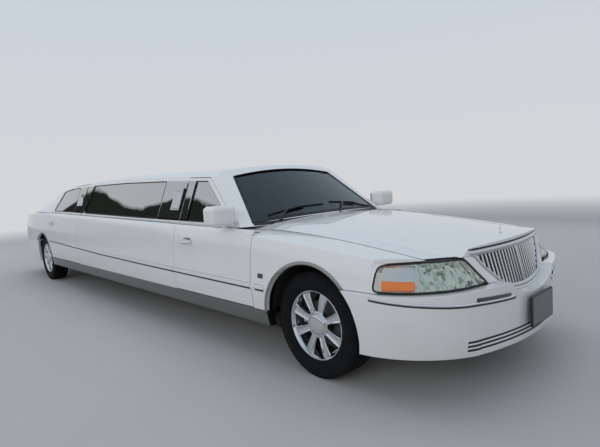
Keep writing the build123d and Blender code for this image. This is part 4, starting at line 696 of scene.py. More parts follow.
# Coach lamps
# A slanted panel of pale lens with fine ribs in a bright frame, on the pillars ahead of and behind the
# long window, with a black strip beside the front one that is a painted shadow of the lamp.
def chrome_plate(name, colour, roughness):
    """Plated metal with faint polishing marks."""
    material, tree, base = shader(name, colour, roughness, metallic=1.0)
    feed(tree, base, {"Roughness": remap(tree, noise(tree, 60.0, 4.0), roughness * 0.7, roughness * 1.6)})
    return material


chrome = chrome_plate("chrome", (0.80, 0.81, 0.82), 0.07)


def spread(start, end, count):
    """Even steps from start to end, both included."""
    return [start + (end - start) * k / count for k in range(count + 1)]


def half_round(width, height, steps=6):
    """Section of a strip with a flat foot and a rounded face."""
    turns = spread(0.0, math.pi, steps)
    return [(math.cos(turn) * width / 2, math.sin(turn) * height) for turn in turns]


LAMP_CORNERS = [("body", (1.480, 1.100), (1.322, 1.100), (1.326, 1.276), (1.462, 1.276)),
                ("rear_door", (-1.178, 1.168), (-1.372, 1.166), (-1.392, 1.282), (-1.236, 1.278))]
LAMP_LIFT, FRAME_LIFT = 0.010, 0.006
LENS_SHEET = 0.009


def ribbed(tree, axis, scale):
    """Fine waves along an axis."""
    inputs = {"Scale": scale, "Distortion": 0.0, "Vector": texture_place(tree)}
    return added(tree, "ShaderNodeTexWave", inputs, bands_direction=axis)["Fac"]


def coach_lens():
    """Pale lavender lens over a silvered back."""
    material, tree, base = shader("coach_lens", (0.55, 0.55, 0.60), 0.16, metallic=0.35, coat=1.0)
    ribs = ribbed(tree, "X", 55.0)
    feed(tree, base, {"Base Color": blend(tree, ribs, (0.42, 0.42, 0.48), (0.62, 0.62, 0.66)),
                      "Normal": relief(tree, ribs, 0.5, 0.001)})
    return material


def patch_edge(corner, columns, rows):
    """Places round the edge of a patch."""
    across, upright = spread(0.0, 1.0, columns)[:-1], spread(0.0, 1.0, rows)[:-1]
    edge = [corner(share, 0) for share in across] + [corner(1, share) for share in upright]
    return edge + [corner(1 - share, 1) for share in across] + [corner(0, 1 - share) for share in upright]


pale_lens = coach_lens()
for side, side_name in SIDES:
    for number, (kind, *places) in enumerate(LAMP_CORNERS):
        low_front, low_rear, top_rear, top_front = [Vector(place) for place in places]
        corner = lambda u, v: low_front.lerp(low_rear, u).lerp(top_front.lerp(top_rear, u), v)
        body = door_body(kind, side_name)
        piece(laid_patch(f"coach_lamp_{number}_{side_name}", side, corner, 8, 8, LAMP_LIFT, LENS_SHEET),
              pale_lens, body, "clear_lens")
        path = [from_side(side_tree, side, x, z, FRAME_LIFT) for x, z in patch_edge(corner, 8, 8)]
        trim(f"coach_lamp_frame_{number}_{side_name}", path, half_round(0.012, 0.008), chrome, body,
             "chrome_trim", True)
        # Black strip along the front lamp's front edge: a painted shadow of the lamp.
        if kind == "body":
            places = spread(low_front + Vector((-0.002, -0.020)), top_front + Vector((0.010, 0.015)), 10)
            path = [from_side(side_tree, side, place.x, place.y, 0.004) for place in places]
            trim(f"coach_lamp_upright_{side_name}", path, half_round(0.016, 0.012), black_trim, "body",
                 "black_plastic")


# Belt strips and side moulding lines
# A slim chrome strip under the windows with a black line below it. Under the raised side moulding a black
# line is painted shade, and over it a bright line is a painted highlight. Each is split at the doors' shut
# lines.
def stainless():
    """Brushed sheet with a grain along the car, for the bright line that is a painted highlight over the side
    moulding.
    """
    material, tree, base = shader("stainless", (0.60, 0.61, 0.62), 0.25, metallic=1.0)
    grain = noise(tree, 420.0, 2.0, ALONG_GRAIN)
    feed(tree, base, {"Roughness": remap(tree, grain, 0.18, 0.34),
                      "Normal": relief(tree, grain, 0.06, 0.0004)})
    return material


highlight_metal = stainless()
MOULDING_RUNS = [("body", 2.656, 2.794), ("front_door", 1.517, 2.639), ("body", -1.143, 1.505),
                 ("rear_door", -2.446, -1.165)]
BELT_RUNS = [("front_door", 1.517, 2.235), ("body", -1.144, 1.506), ("rear_door", -2.440, -1.156)]
MOULDING_LINE = [(2.795, 0.567), (1.0, 0.589), (-0.3, 0.612), (-2.5, 0.680)]
RUN_STEP = 0.05


def on_line(rows, x):
    """Height of a line of (x, z) places at x; the last height holds beyond its end."""
    for (first_x, first_z), (second_x, second_z) in zip(rows, rows[1:]):
        if (x - second_x) * (first_x - second_x) >= 0.0:
            return second_z + (first_z - second_z) * (x - second_x) / (first_x - second_x)
    return rows[-1][1]


# The black line under the moulding is painted shade; the bright line over it is a painted highlight.
MOULDING_STRIPS = [("moulding_foot", lambda x: on_line(MOULDING_LINE, x) - 0.024, (0.018, 0.0060), black_trim,
                    "black_plastic"),
                   ("moulding_top", lambda x: on_line(MOULDING_LINE, x) + 0.0155, (0.004, 0.0022), highlight_metal,
                    "bright_trim")]
BELT_STRIPS = [("belt_strip", lambda x: belt(x) + 0.008, (0.014, 0.005), chrome, "bright_trim"),
               ("belt_line", lambda x: belt(x) - 0.003, (0.006, 0.0025), seal_rubber, "black_plastic")]
for side, side_name in SIDES:
    for runs, strips in ((MOULDING_RUNS, MOULDING_STRIPS), (BELT_RUNS, BELT_STRIPS)):
        for number, (kind, start, end) in enumerate(runs):
            places = spread(start, end, max(3, int((end - start) / RUN_STEP)))
            for name, height, size, finish, slot in strips:
                path = [from_side(side_tree, side, x, height(x)) for x in places]
                trim(f"{name}_{number}_{side_name}", [found for found in path if found], half_round(*size),
                     finish, door_body(kind, side_name), slot)


# Wheel arch lips
# Dulled bright lips round all four arches, each a flat band with a rolled edge. Each row has the axle's x
# and the lip's two ends, front and rear, as a height and the radius at which it is reached.
lip_steel = chrome_plate("lip_steel", (0.34, 0.335, 0.31), 0.22)
HUB_Z = 0.351
ARCH_RADIUS = 0.405
LIP_WIDTH = 0.021
OUTER_RADIUS = ARCH_RADIUS + LIP_WIDTH
LIPS = [(3.2045, (0.640, OUTER_RADIUS), (0.371, ARCH_RADIUS)),
        (-2.8335, (0.420, ARCH_RADIUS), (0.644, OUTER_RADIUS))]
LIP_SECTION = [(-LIP_WIDTH / 2, -0.002), (LIP_WIDTH / 2, -0.002), (LIP_WIDTH / 2, 0.002),
               (LIP_WIDTH / 4, 0.0045), (-LIP_WIDTH / 4, 0.0035), (-LIP_WIDTH / 2, 0.0065)]
SKIN_Y = 0.9
lip_tree = ray_tree("front_fenders", "quarter_panels", "front_bumper", "rear_bumper", "rockers",
                    "rear_door_left", "rear_door_right")

for side, side_name in SIDES:
    for number, (axle_x, front, rear) in enumerate(LIPS):
        start, end = [math.asin((height - HUB_Z) / radius) for height, radius in (front, rear)]
        radius = ARCH_RADIUS + LIP_WIDTH / 2 + 0.001
        path = []
        for turn in spread(start, math.pi - end, 64):
            x, z = axle_x + radius * math.cos(turn), HUB_Z + radius * math.sin(turn)
            found = from_side(lip_tree, side, x, z)
            if found and abs(found[0].y) > SKIN_Y:
                path.append(found)
        trim(f"arch_lip_{number}_{side_name}", path, LIP_SECTION, lip_steel, "body", "bright_trim")


# Bumper strips
# A chrome strip with a black line under it along the top corner of the front bumper cover, on each side.
STRIP_LINE = [(3.700, 0.618), (3.85, 0.604), (4.0, 0.588), (4.10, 0.573), (4.165, 0.562), (4.215, 0.553)]
STRIP_INNER_Y = 0.285
NOSE_REACH = 1.2
bumper_tree = ray_tree("front_bumper")


def round_nose(tree, side, turn, z, centre=(3.70, 0.42)):
    """Point and outward normal on the nose, looking in at a plan angle from the side (0) to ahead (90)."""
    outward = Vector((math.sin(turn), side * math.cos(turn), 0.0))
    return met(tree, Vector((centre[0], side * centre[1], z)) + outward * NOSE_REACH, -outward)


def bumper_path(side, down):
    """Points along the bumper strip's line, or that far below it."""
    path = []
    for degrees in spread(-2.0, 104.0, 60):
        z = 0.6
        for _ in range(4):
            found = round_nose(bumper_tree, side, math.radians(degrees), z)
            if found is None:
                break
            z = on_line(STRIP_LINE, found[0].x) - down
        if found and STRIP_LINE[0][0] <= found[0].x and abs(found[0].y) > STRIP_INNER_Y:
            path.append(found)
    return path


for side, side_name in SIDES:
    trim(f"bumper_strip_{side_name}", bumper_path(side, 0.0), half_round(0.014, 0.007), chrome, "body",
         "chrome_trim")
    trim(f"bumper_line_{side_name}", bumper_path(side, 0.012), half_round(0.010, 0.003), black_trim, "body",
         "black_plastic")


# Door handle cups
# The white pull bars stand over shallow dark cups, laid as smooth black ovals on the skin.
piano_black = moulded("piano_black", (0.008, 0.009, 0.011), 0.06, 300.0, 0.00003, coat=1.0)
HANDLES = [("front_door", 1.742, 0.843), ("rear_door", -2.300, 0.925)]
CUP_HALF = (0.072, 0.026)
CUP_SQUARE = (0.6, 0.8)
CUP_PROBE = 0.045
CUP_POINTS = 40
CUP_LIFT, CUP_DEPTH, CUP_FOOT = 0.0012, 0.006, 0.98


def bulged(value, power):
    """A sine or cosine drawn out towards its ends."""
    return math.copysign(abs(value) ** power, value)


for side, side_name in SIDES:
    for kind, x, z in HANDLES:
        rim = []
        for turn in spread(0.0, 2.0 * math.pi, CUP_POINTS)[:-1]:
            px = x + CUP_HALF[0] * bulged(math.cos(turn), CUP_SQUARE[0])
            pz = z + CUP_HALF[1] * bulged(math.sin(turn), CUP_SQUARE[1])
            above, below = [from_side(side_tree, side, px, z + dz)[0].y for dz in (CUP_PROBE, -CUP_PROBE)]
            y = between(above, below, (z + CUP_PROBE - pz) / (2 * CUP_PROBE))
            rim.append(Vector((px, y + side * CUP_LIFT, pz)))
        deep = [Vector((between(x, place.x, CUP_FOOT), place.y - side * CUP_DEPTH,
                        between(z, place.z, CUP_FOOT)))
                for place in rim]
        faces = [tuple(range(CUP_POINTS)), tuple(range(CUP_POINTS, 2 * CUP_POINTS))]
        faces += [(k, (k + 1) % CUP_POINTS, CUP_POINTS + (k + 1) % CUP_POINTS, CUP_POINTS + k)
                  for k in range(CUP_POINTS)]
        mesh = mesh_from(f"handle_cup_{kind}_{side_name}", rim + deep, faces)
        piece(mesh, piano_black, kind + "_" + side_name, "black_plastic")


# Side markers
# A small dark lens in a thin black frame on each front fender.
smoked = moulded("smoked_lens", (0.05, 0.018, 0.006), 0.12, 200.0, 0.0002, coat=1.0)
MARKER_PLACE = (2.770, 0.645)
MARKER_HALF = (0.024, 0.013)
for side, side_name in SIDES:
    corner = lambda u, v: (MARKER_PLACE[0] + MARKER_HALF[0] * (1 - 2 * u),
                           MARKER_PLACE[1] + MARKER_HALF[1] * (2 * v - 1))
    mesh = laid_patch(f"side_marker_{side_name}", side, corner, 4, 4, 0.005, 0.0045)
    piece(mesh, smoked, "body", "black_plastic")
    path = [from_side(side_tree, side, x, z) for x, z in patch_edge(corner, 2, 2)]
    trim(f"side_marker_frame_{side_name}", path, half_round(0.006, 0.006), black_trim, "body",
         "black_plastic", True)


# Hood shut lines
# A black line sunk in the gap between the hood's edge and each fender.
def flat_bar(half, low, high):
    """Section with square corners."""
    return [(-half, low), (half, low), (half, high), (-half, high)]


HOOD_SPAN = (2.52, 4.02)
SHUT_OUT, SHUT_LIFT = 0.0052, 0.0004
HOOD_SIDES = [0.92 - 0.001 * step for step in range(500)]
hood_tree = ray_tree("hood")
for side, side_name in SIDES:
    path = []
    for x in spread(*HOOD_SPAN, 80):
        for y in HOOD_SIDES:
            found = met(hood_tree, Vector((x, side * y, 3.0)), DOWN)
            if found and found[1].z > FACING_SHARE:
                path.append((Vector((x, side * (y + SHUT_OUT), found[0].z + SHUT_LIFT)), found[1]))
                break
    trim(f"hood_shut_line_{side_name}", path, flat_bar(0.0042, -0.004, 0.0), seal_rubber, "body",
         "black_plastic")


# Headlamps
# One wide lens a side from the fender round to the grille: a clear cover with a black gasket, a pale box
# with a ribbed amber bar at the rear, a white divider and a faceted reflector in front of a black bowl.
housing_black = moulded("lamp_housing", (0.015, 0.015, 0.016), 0.5, 300.0, 0.0002)
divider_white = moulded("lamp_divider", (0.62, 0.66, 0.66), 0.3, 200.0, 0.0001, coat=0.5)
clear_cover = pane("clear_cover", (0.93, 0.94, 0.93), shine_roughness=0.03)


def baked(thing):
    """Gives an object the plain mesh that its modifiers make of it."""
    bpy.context.view_layer.update()
    graph = bpy.context.evaluated_depsgraph_get()
    mesh = bpy.data.meshes.new_from_object(thing.evaluated_get(graph), depsgraph=graph)
    mesh.name = thing.name
    thing.modifiers.clear()
    thing.data = mesh
    return thing


def walled(thing, thickness):
    """Thickens a sheet inwards."""
    modified(thing, "wall", "SOLIDIFY", thickness=thickness, offset=-1.0)
    return baked(thing)


def grid_mesh(name, points, columns, lines, outward):
    """Smooth sheet over a grid of points, its faces turned outwards."""
    mesh = bpy.data.meshes.new(name)
    mesh.from_pydata([tuple(point) for point in points], [], grid_faces(columns, lines))
    if sum(face.normal.dot(outward) for face in mesh.polygons) < 0.0:
        mesh.flip_normals()
    return shaded(mesh)


LAMP_CENTRE = (3.75, 0.50)
LAMP_LOW, LAMP_HIGH = 0.6475, 0.7875
LAMP_OPENING = (3.7106, 0.6446, 0.7914)
LAMP_REAR = (3.7165, 0.014)
LAMP_INNER = (0.418, 0.639, 0.78)
REAR_ROUND, INNER_ROUND = 0.030, 0.016
DIVIDER_AT = 0.345
AMBER_SPAN, AMBER_HEIGHT = (0.055, 0.300), 0.265
COLUMNS, ROWS = 56, 18
CHEEK_COLUMNS = 5
SWEEP = [math.radians(-6.0 + 0.25 * k) for k in range(480)]
AMBER_HALF = [(0.027, -0.009), (0.026, 0.000), (0.021, 0.005), (0.015, 0.000), (0.008, 0.006)]
AMBER_RIBS = AMBER_HALF + [(0.0, 0.007)] + [(-a, b) for a, b in reversed(AMBER_HALF)]
DIVIDER_BAR = [(-0.011, -0.020), (0.011, -0.020), (0.011, 0.002), (0.0, 0.005), (-0.011, 0.002)]
GASKET = [(-0.0045, -0.006), (0.0045, -0.006), (0.0045, 0.0015), (0.0, 0.0030), (-0.0045, 0.0015)]
headlamp_tree = ray_tree("headlamps")


def rounding(z, radius):
    """How far a rounded corner draws an edge in at a height."""
    near = min(z - LAMP_LOW, LAMP_HIGH - z)
    return radius - math.sqrt(max(0.0, radius ** 2 - max(0.0, radius - near) ** 2))


def lamp_turns(side, z, whole=False):
    """Plan angles of the lens's rear and inner edges at a height, or of the whole opening's rear edge."""
    up = (z - LAMP_LOW) / (LAMP_HIGH - LAMP_LOW)
    rear_x = LAMP_OPENING[0] if whole else LAMP_REAR[0] + LAMP_REAR[1] * up + rounding(z, REAR_ROUND)
    top_round = rounding(z, INNER_ROUND) if up > 0.5 else 0.0
    inner_y = LAMP_INNER[0] + (z - LAMP_INNER[1]) * LAMP_INNER[2] + top_round
    rear, inner = None, 0.0
    for turn in SWEEP:
        found = round_nose(headlamp_tree, side, turn, z, LAMP_CENTRE)
        if found is None:
            continue
        if rear is None and found[0].x >= rear_x:
            rear = turn
        if abs(found[0].y) >= inner_y and found[0].x > rear_x:
            inner = turn
    return rear, inner


def lamp_rows(side):
    """Heights of the lens's rows with their plan angles; rows lie closer near its top and bottom."""
    shares = [0.5 - 0.5 * math.cos(math.pi * row / ROWS) for row in range(ROWS + 1)]
    heights = [between(LAMP_LOW, LAMP_HIGH, share) for share in shares]
    return [(z, *lamp_turns(side, z)) for z in heights]


def lamp_point(side, rows, u, v, inset):
    """Point and normal of the lamp's face, moved inwards by inset."""
    row = min(int(v * ROWS), ROWS - 1)
    z, rear, inner = [between(a, b, v * ROWS - row) for a, b in zip(rows[row], rows[row + 1])]
    place, normal = round_nose(headlamp_tree, side, between(rear, inner, u), z, LAMP_CENTRE)
    return place - normal * inset, normal


def lamp_sheet(name, side, rows, span, columns, lines, inset, seed=None, rough=0.0):
    """Grid of the lamp's face between two u limits; a seed scatters the depth into facets."""
    chance = random.Random(seed)
    points = []
    for line in range(lines + 1):
        for column, u in enumerate(spread(*span, columns)):
            depth = inset
            if seed is not None:
                across = min(1.0, 5.0 * column / columns, 5.0 * (columns - column) / columns)
                upright = min(1.0, 4.0 * line / lines, 4.0 * (lines - line) / lines)
                bowl = 0.2 + 0.8 * min(across, upright) ** 0.6
                depth = inset * bowl + chance.uniform(-rough, rough) * bowl
            points.append(lamp_point(side, rows, u, line / lines, depth)[0])
    mesh = grid_mesh(name, points, columns, lines, Vector((1.0, side, 0.0)))
    if seed is not None:
        shape = opened(mesh)
        bmesh.ops.triangulate(shape, faces=shape.faces)
        written(shape, mesh, False)
    return mesh


def painted_glow(name, colour, roughness, glow, strength, metallic=0.0):
    """Moulding or silver with a faint painted glow, standing in for light caught inside the lamp."""
    material, tree, base = shader(name, colour, roughness, metallic)
    feed(tree, base, {"Emission Color": (*glow, 1.0), "Emission Strength": strength})
    return material, base


def outer_lamp_skin(centre, normal):
    """True for the faces of the lamp block that its lens stands for."""
    side = math.copysign(1.0, centre.y)
    return normal.x + normal.y * side > 0.5 and abs(normal.z) < 0.7


def lamp_cheek(side, rows):
    """White panel behind the lens: from the opening's rear edge to the lens, drawn out under its edges."""
    points = []
    heights = [LAMP_OPENING[1]] + [row[0] for row in rows[1:-1]] + [LAMP_OPENING[2]]
    for z, (_, rear, _) in zip(heights, rows):
        turns = spread(lamp_turns(side, z, whole=True)[0], rear, CHEEK_COLUMNS)
        row = [round_nose(headlamp_tree, side, turn, z, LAMP_CENTRE)[0] for turn in turns]
        points.append([row[0] + (row[0] - row[1]).normalized() * 0.008] + row)
    foot, head = [[a + (a - b).normalized() * 0.007 for a, b in zip(*pair)]
                  for pair in (points[:2], points[:-3:-1])]
    lift = Vector((0.1, side, 0.0)) * 0.0006
    flat = [point + lift for row in [foot] + points + [head] for point in row]
    return grid_mesh("headlamp_cheek", flat, CHEEK_COLUMNS + 1, ROWS + 2, Vector((1.0, side, 0.0)))


# The reflector, the pale box and the amber bar get a faint painted glow.
silver = painted_glow("lamp_silver", (0.66, 0.69, 0.60), 0.12, (0.66, 0.69, 0.60), 0.03, 1.0)[0]
pale_box = painted_glow("lamp_pale_box", (0.74, 0.68, 0.65), 0.12, (0.74, 0.68, 0.65), 0.03, 1.0)[0]
amber, amber_base = painted_glow("amber", (0.85, 0.21, 0.003), 0.35, (1.0, 0.20, 0.0), 0.14)
amber_base.inputs["Specular IOR Level"].default_value = 0.2
rolled("headlamps", housing_black, 0.0005, outer_lamp_skin)
for side, side_name in SIDES:
    rows = lamp_rows(side)
    low_share = math.acos(1.0 - 2.0 * AMBER_HEIGHT) / math.pi
    amber_path = [lamp_point(side, rows, u, low_share, 0.013) for u in spread(*AMBER_SPAN, 24)]
    divider_path = [lamp_point(side, rows, DIVIDER_AT, v, 0.010) for v in spread(0.08, 0.92, 8)]
    path = patch_edge(lambda u, v: lamp_point(side, rows, u, v, 0.0), COLUMNS, ROWS)
    path = [item for k, item in enumerate(path) if (item[0] - path[k - 1][0]).length > 0.0008]
    lens = lamp_sheet(f"headlamp_cover_{side_name}", side, rows, (0.0, 1.0), COLUMNS, ROWS, 0.0005)
    walled(piece(lens, clear_cover, "body", "clear_lens"), 0.0025)
    reflector = lamp_sheet("reflector", side, rows, (DIVIDER_AT, 1.0), 26, 9, 0.026, 7, 0.014)
    box = lamp_sheet("pale_box", side, rows, (0.0, DIVIDER_AT), 10, 6, 0.024, 11, 0.002)
    for name, mesh, finish, slot in [
            ("reflector", reflector, silver, "chrome_trim"),
            ("pale_box", box, pale_box, "chrome_trim"),
            ("amber", strip("amber", amber_path, AMBER_RIBS), amber, "clear_lens"),
            ("divider", strip("divider", divider_path, DIVIDER_BAR), divider_white, "grey_plastic"),
            ("gasket", strip("gasket", path, GASKET, closed_loop=True), seal_rubber, "black_plastic")]:
        piece(mesh, finish, "body", slot, f"headlamp_{name}_{side_name}")
    walled(piece(lamp_cheek(side, rows), white, "body", "white_paint", f"headlamp_cheek_{side_name}"), 0.004)


# Grille
# Waterfall grille: a chromed frame with a deep rounded header, upright round bars in front of a dark
# back, and a white pressed surround that hugs it down the sides and round its foot.
grille_plate = chrome_plate("grille_plate", (0.60, 0.60, 0.61), 0.06)
AHEAD = Vector((1.0, 0.0, 0.0))
ARC_Z, ARC_RISE = 0.640, 0.150
ARC_CENTRE, ARC_HALF, ARC_SIDE = (4.155, -0.035), (0.420, 0.110), (4.124, -0.074)
GRILLE_TOP = 0.832
GRILLE_HALF = 0.492
GRILLE_KNEE = (0.404, 0.716)
GRILLE_FOOT = (0.262, 0.590)
GRILLE_LOW = 0.560
GRILLE_SLOPES = (0.887, 1.318)
BAR_PITCH = 0.0345
BAR_RADIUS = 0.0082
BAR_SIDES = 14
MIDDLE_HALF = 0.011
BAR_SINK = 0.0130
BACK_SINK = 0.032
FRAME_WIDTH = 0.024
HEADER_HEIGHT = 0.040
CHEEK_LOW, CHEEK_HIGH = 0.6290, 0.7960
CHEEK_SLOPES = (0.759, 1.127)


def arc_x(y, z):
    """How far forward the nose's front arc stands."""
    t = (z - ARC_Z) / ARC_RISE
    centre, half, side_x = [start + change * t for start, change in (ARC_CENTRE, ARC_HALF, ARC_SIDE)]
    return centre - (centre - side_x) * (y / half) ** 2


def nose_front(y, z, out=0.0):
    """Point and normal on the nose's front arc, moved outwards."""
    step = 0.004
    slope_y = (arc_x(y - step, z) - arc_x(y + step, z)) / (2 * step)
    slope_z = (arc_x(y, z - step) - arc_x(y, z + step)) / (2 * step)
    normal = Vector((1.0, slope_y, slope_z)).normalized()
    return Vector((arc_x(y, z), y, z)) + normal * out, normal


def grille_outline(inset):
    """(y, z) rows down the left side, round the foot and up the right side, set in by an amount."""
    top = Vector((GRILLE_HALF - inset, GRILLE_TOP - inset * 0.3))
    knee = Vector((GRILLE_KNEE[0] - inset, GRILLE_KNEE[1]))
    foot = Vector((GRILLE_FOOT[0] - inset * 0.7, GRILLE_FOOT[1] + inset * 0.7))
    low = GRILLE_LOW + inset
    rows = spread(top, knee, 14)[:-1] + spread(knee, foot, 14)[:-1]
    rows += [(foot.x * share, low + (foot.y - low) * share ** 2) for share in spread(1.0, 0.0, 28)]
    return rows + [(-y, z) for y, z in reversed(rows[:-1])]


def grille_low(y):
    """Height of the grille's lower edge at y."""
    y = abs(y)
    if y < GRILLE_FOOT[0]:
        return between(GRILLE_LOW, GRILLE_FOOT[1], (y / GRILLE_FOOT[0]) ** 2)
    if y < GRILLE_KNEE[0]:
        return GRILLE_FOOT[1] + (y - GRILLE_FOOT[0]) * GRILLE_SLOPES[0]
    return GRILLE_KNEE[1] + (y - GRILLE_KNEE[0]) * GRILLE_SLOPES[1]


def tool_group(name, **sockets):
    """Geometry Nodes group with a geometry and other inputs; returns it with its first node's outputs."""
    group = bpy.data.node_groups.new(name, "GeometryNodeTree")
    for socket, kind in {"Geometry": "Geometry", **sockets}.items():
        group.interface.new_socket(socket, in_out="INPUT", socket_type="NodeSocket" + kind)
    group.interface.new_socket("Geometry", in_out="OUTPUT", socket_type="NodeSocketGeometry")
    return group, added(group, "NodeGroupInput", {})


def close_group(group, shape, material):
    """Makes the copies real, gives them their material and ends the group."""
    real = added(group, "GeometryNodeRealizeInstances", {0: shape})[0]
    dressed = added(group, "GeometryNodeSetMaterial", {"Geometry": real, "Material": material})[0]
    added(group, "NodeGroupOutput", {0: dressed})
    return group


def bar_tools():
    """Group that gives every edge path a round bar."""
    group, start = tool_group("round_bars", Radius="Float", Sides="Int", Material="Material")
    line = added(group, "GeometryNodeMeshToCurve", {"Mesh": start["Geometry"]})["Curve"]
    inputs = {"Radius": start["Radius"], "Resolution": start["Sides"]}
    ring = added(group, "GeometryNodeCurvePrimitiveCircle", inputs)["Curve"]
    inputs = {"Fill Caps": True, "Curve": line, "Profile Curve": ring}
    tube = added(group, "GeometryNodeCurveToMesh", inputs)
    smooth = added(group, "GeometryNodeSetShadeSmooth", {"Geometry": tube["Mesh"]})[0]
    return close_group(group, smooth, start["Material"])


def put_through(group, mesh, **values):
    """The plain mesh that a group makes of a mesh."""
    thing = linked(mesh.name, mesh)
    tool = modified(thing, "tool", "NODES", node_group=group)
    names = {item.name: item.identifier for item in group.interface.items_tree if item.in_out == "INPUT"}
    for name, value in values.items():
        tool[names[name]] = value
    whole = baked(thing).data
    bpy.data.objects.remove(thing)
    return whole


round_bars = bar_tools()


def barred(name, paths, radius, sides, material):
    """Plain mesh of round bars along paths of points."""
    points, edges = [], []
    for path in paths:
        edges += [(len(points) + k, len(points) + k + 1) for k in range(len(path) - 1)]
        points += [tuple(point) for point in path]
    mesh = bpy.data.meshes.new(name)
    mesh.from_pydata(points, edges, [])
    return put_through(round_bars, mesh, Radius=radius, Sides=sides, Material=material)


def keeled(section, half, depth):
    """A section with a foot sunk behind it."""
    return section + [(-half, -depth), (half, -depth)]


path = [nose_front(y, z, -0.004) for y, z in grille_outline(FRAME_WIDTH / 2)]
frame_mesh = strip("grille_frame", path, keeled(half_round(FRAME_WIDTH, 0.012, 8), 0.012, 0.026))
path = [nose_front(y, GRILLE_TOP - HEADER_HEIGHT / 2, -0.010) for y in spread(GRILLE_HALF, -GRILLE_HALF, 40)]
arch = [(a, b + 0.002) for a, b in half_round(HEADER_HEIGHT, 0.020, 10)]
header_mesh = strip("grille_header", path, keeled(arch, 0.018, 0.014))
paths = []
count = int((GRILLE_HALF - FRAME_WIDTH - 0.010) / BAR_PITCH)
for y in [k * BAR_PITCH for k in range(-count, count + 1)]:
    low, high = grille_low(y) + FRAME_WIDTH - 0.008, GRILLE_TOP - HEADER_HEIGHT + 0.010
    if high - low > 0.02:
        paths.append([nose_front(y, z, -BAR_SINK)[0] for z in spread(low, high, 6)])
bars_mesh = barred("grille_bars", paths, BAR_RADIUS, BAR_SIDES, chrome)
path = [nose_front(0.0, z, -0.010) for z in spread(GRILLE_LOW + 0.018, GRILLE_TOP - 0.012, 6)]
middle_mesh = strip("grille_middle", path, keeled(half_round(2 * MIDDLE_HALF, 0.010), 0.009, 0.012))
whole = written(opened(frame_mesh, header_mesh, bars_mesh, middle_mesh), "grille_chrome", True)
grille = piece(whole, grille_plate, body_of["grille"], "chrome_trim")
points = []
for share in spread(0.0, 1.0, 8):
    for y in spread(GRILLE_HALF - 0.012, 0.012 - GRILLE_HALF, 32):
        points.append(nose_front(y, between(grille_low(y) + 0.010, GRILLE_TOP - 0.012, share), -BACK_SINK)[0])
piece(grid_mesh("grille_back", points, 32, 8, AHEAD), black_trim, body_of["grille"], "black_plastic")
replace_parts(grille, "grille")
for side, side_name in SIDES:
    points = []
    for z in spread(CHEEK_LOW, CHEEK_HIGH, 18):
        slope = CHEEK_SLOPES[0] if z > GRILLE_KNEE[1] else CHEEK_SLOPES[1]
        inner_y = GRILLE_KNEE[0] + (z - GRILLE_KNEE[1]) * slope + 0.0015
        outer_y = LAMP_INNER[0] + (z - LAMP_INNER[1]) * LAMP_INNER[2] - 0.003
        for share in spread(0.0, 1.0, 10):
            swell = 0.0005 + 0.006 * max(0.0, math.sin(math.pi * share)) ** 0.6
            points.append(nose_front(side * between(inner_y, outer_y, share), z, swell)[0])
    mesh = grid_mesh(f"grille_cheek_{side_name}", points, 10, 18, AHEAD)
    walled(piece(mesh, white, "body", "white_paint"), 0.012)
path = [nose_front(y, z, 0.002) for y, z in grille_outline(-0.008) if z < 0.640]
trim("grille_foot_lip", path, keeled(half_round(0.015, 0.007), 0.0075, 0.012), white, "body", "white_paint")


# Hood ornament
# A bare chromed stick on a small round foot at the front edge of the hood, with nothing on it.
def revolved(name, profile, segments=96, closed_section=True, upright=False):
    """Turns (radius, depth) rows about the Y axis, or (radius, height) rows about an upright one."""
    points = []
    for turn in spread(0.0, 2.0 * math.pi, segments)[:-1]:
        for r, d in profile:
            a, b = r * math.cos(turn), r * math.sin(turn)
            points.append(Vector((a, b, d)) if upright else Vector((a, -d, b)))
    rows = len(profile)
    faces = loop_faces(segments, rows, closed_section=closed_section)
    if not closed_section:
        faces += [tuple(step * rows + k for step in range(segments)) for k in (rows - 1, 0)]
    return mesh_from(name, points, faces)


ORNAMENT_X = 4.022
ORNAMENT_HEIGHT = 0.060
STICK_PROFILE = [(0.0110, -0.001), (0.0110, 0.003), (0.0070, 0.006), (0.0030, 0.009), (0.0026, 0.020),
                 (0.0024, ORNAMENT_HEIGHT), (0.0016, ORNAMENT_HEIGHT + 0.0016)]
stick = revolved("ornament_stick", STICK_PROFILE, 16, closed_section=False, upright=True)
stick.transform(Matrix.Translation(met(hood_tree, Vector((ORNAMENT_X, 0.0, 2.0)), DOWN)[0]))
piece(stick, chrome, "hood", "chrome_trim")


# Wheels
# Chromed alloy: a rolled lip and barrel, eight wide spokes with raised edges and a sunk channel between
# them, a stepped bright ring and a large plain round cap, over a dark brake disc.
def ring_tools():
    """Group that repeats a piece round the Y axis."""
    group, start = tool_group("repeat_round", Count="Int", Material="Material")
    inputs = {"Offset": (0.0, 0.0, 0.0), "Count": start["Count"]}
    line = added(group, "GeometryNodeMeshLine", inputs)["Mesh"]
    share = worked(group, "DIVIDE", added(group, "GeometryNodeInputIndex", {})[0], start["Count"])
    angles = added(group, "ShaderNodeCombineXYZ", {"Y": worked(group, "MULTIPLY", share, 2.0 * math.pi)})[0]
    inputs = {"Points": line, "Instance": start["Geometry"], "Rotation": angles}
    copies = added(group, "GeometryNodeInstanceOnPoints", inputs)["Instances"]
    return close_group(group, copies, start["Material"])


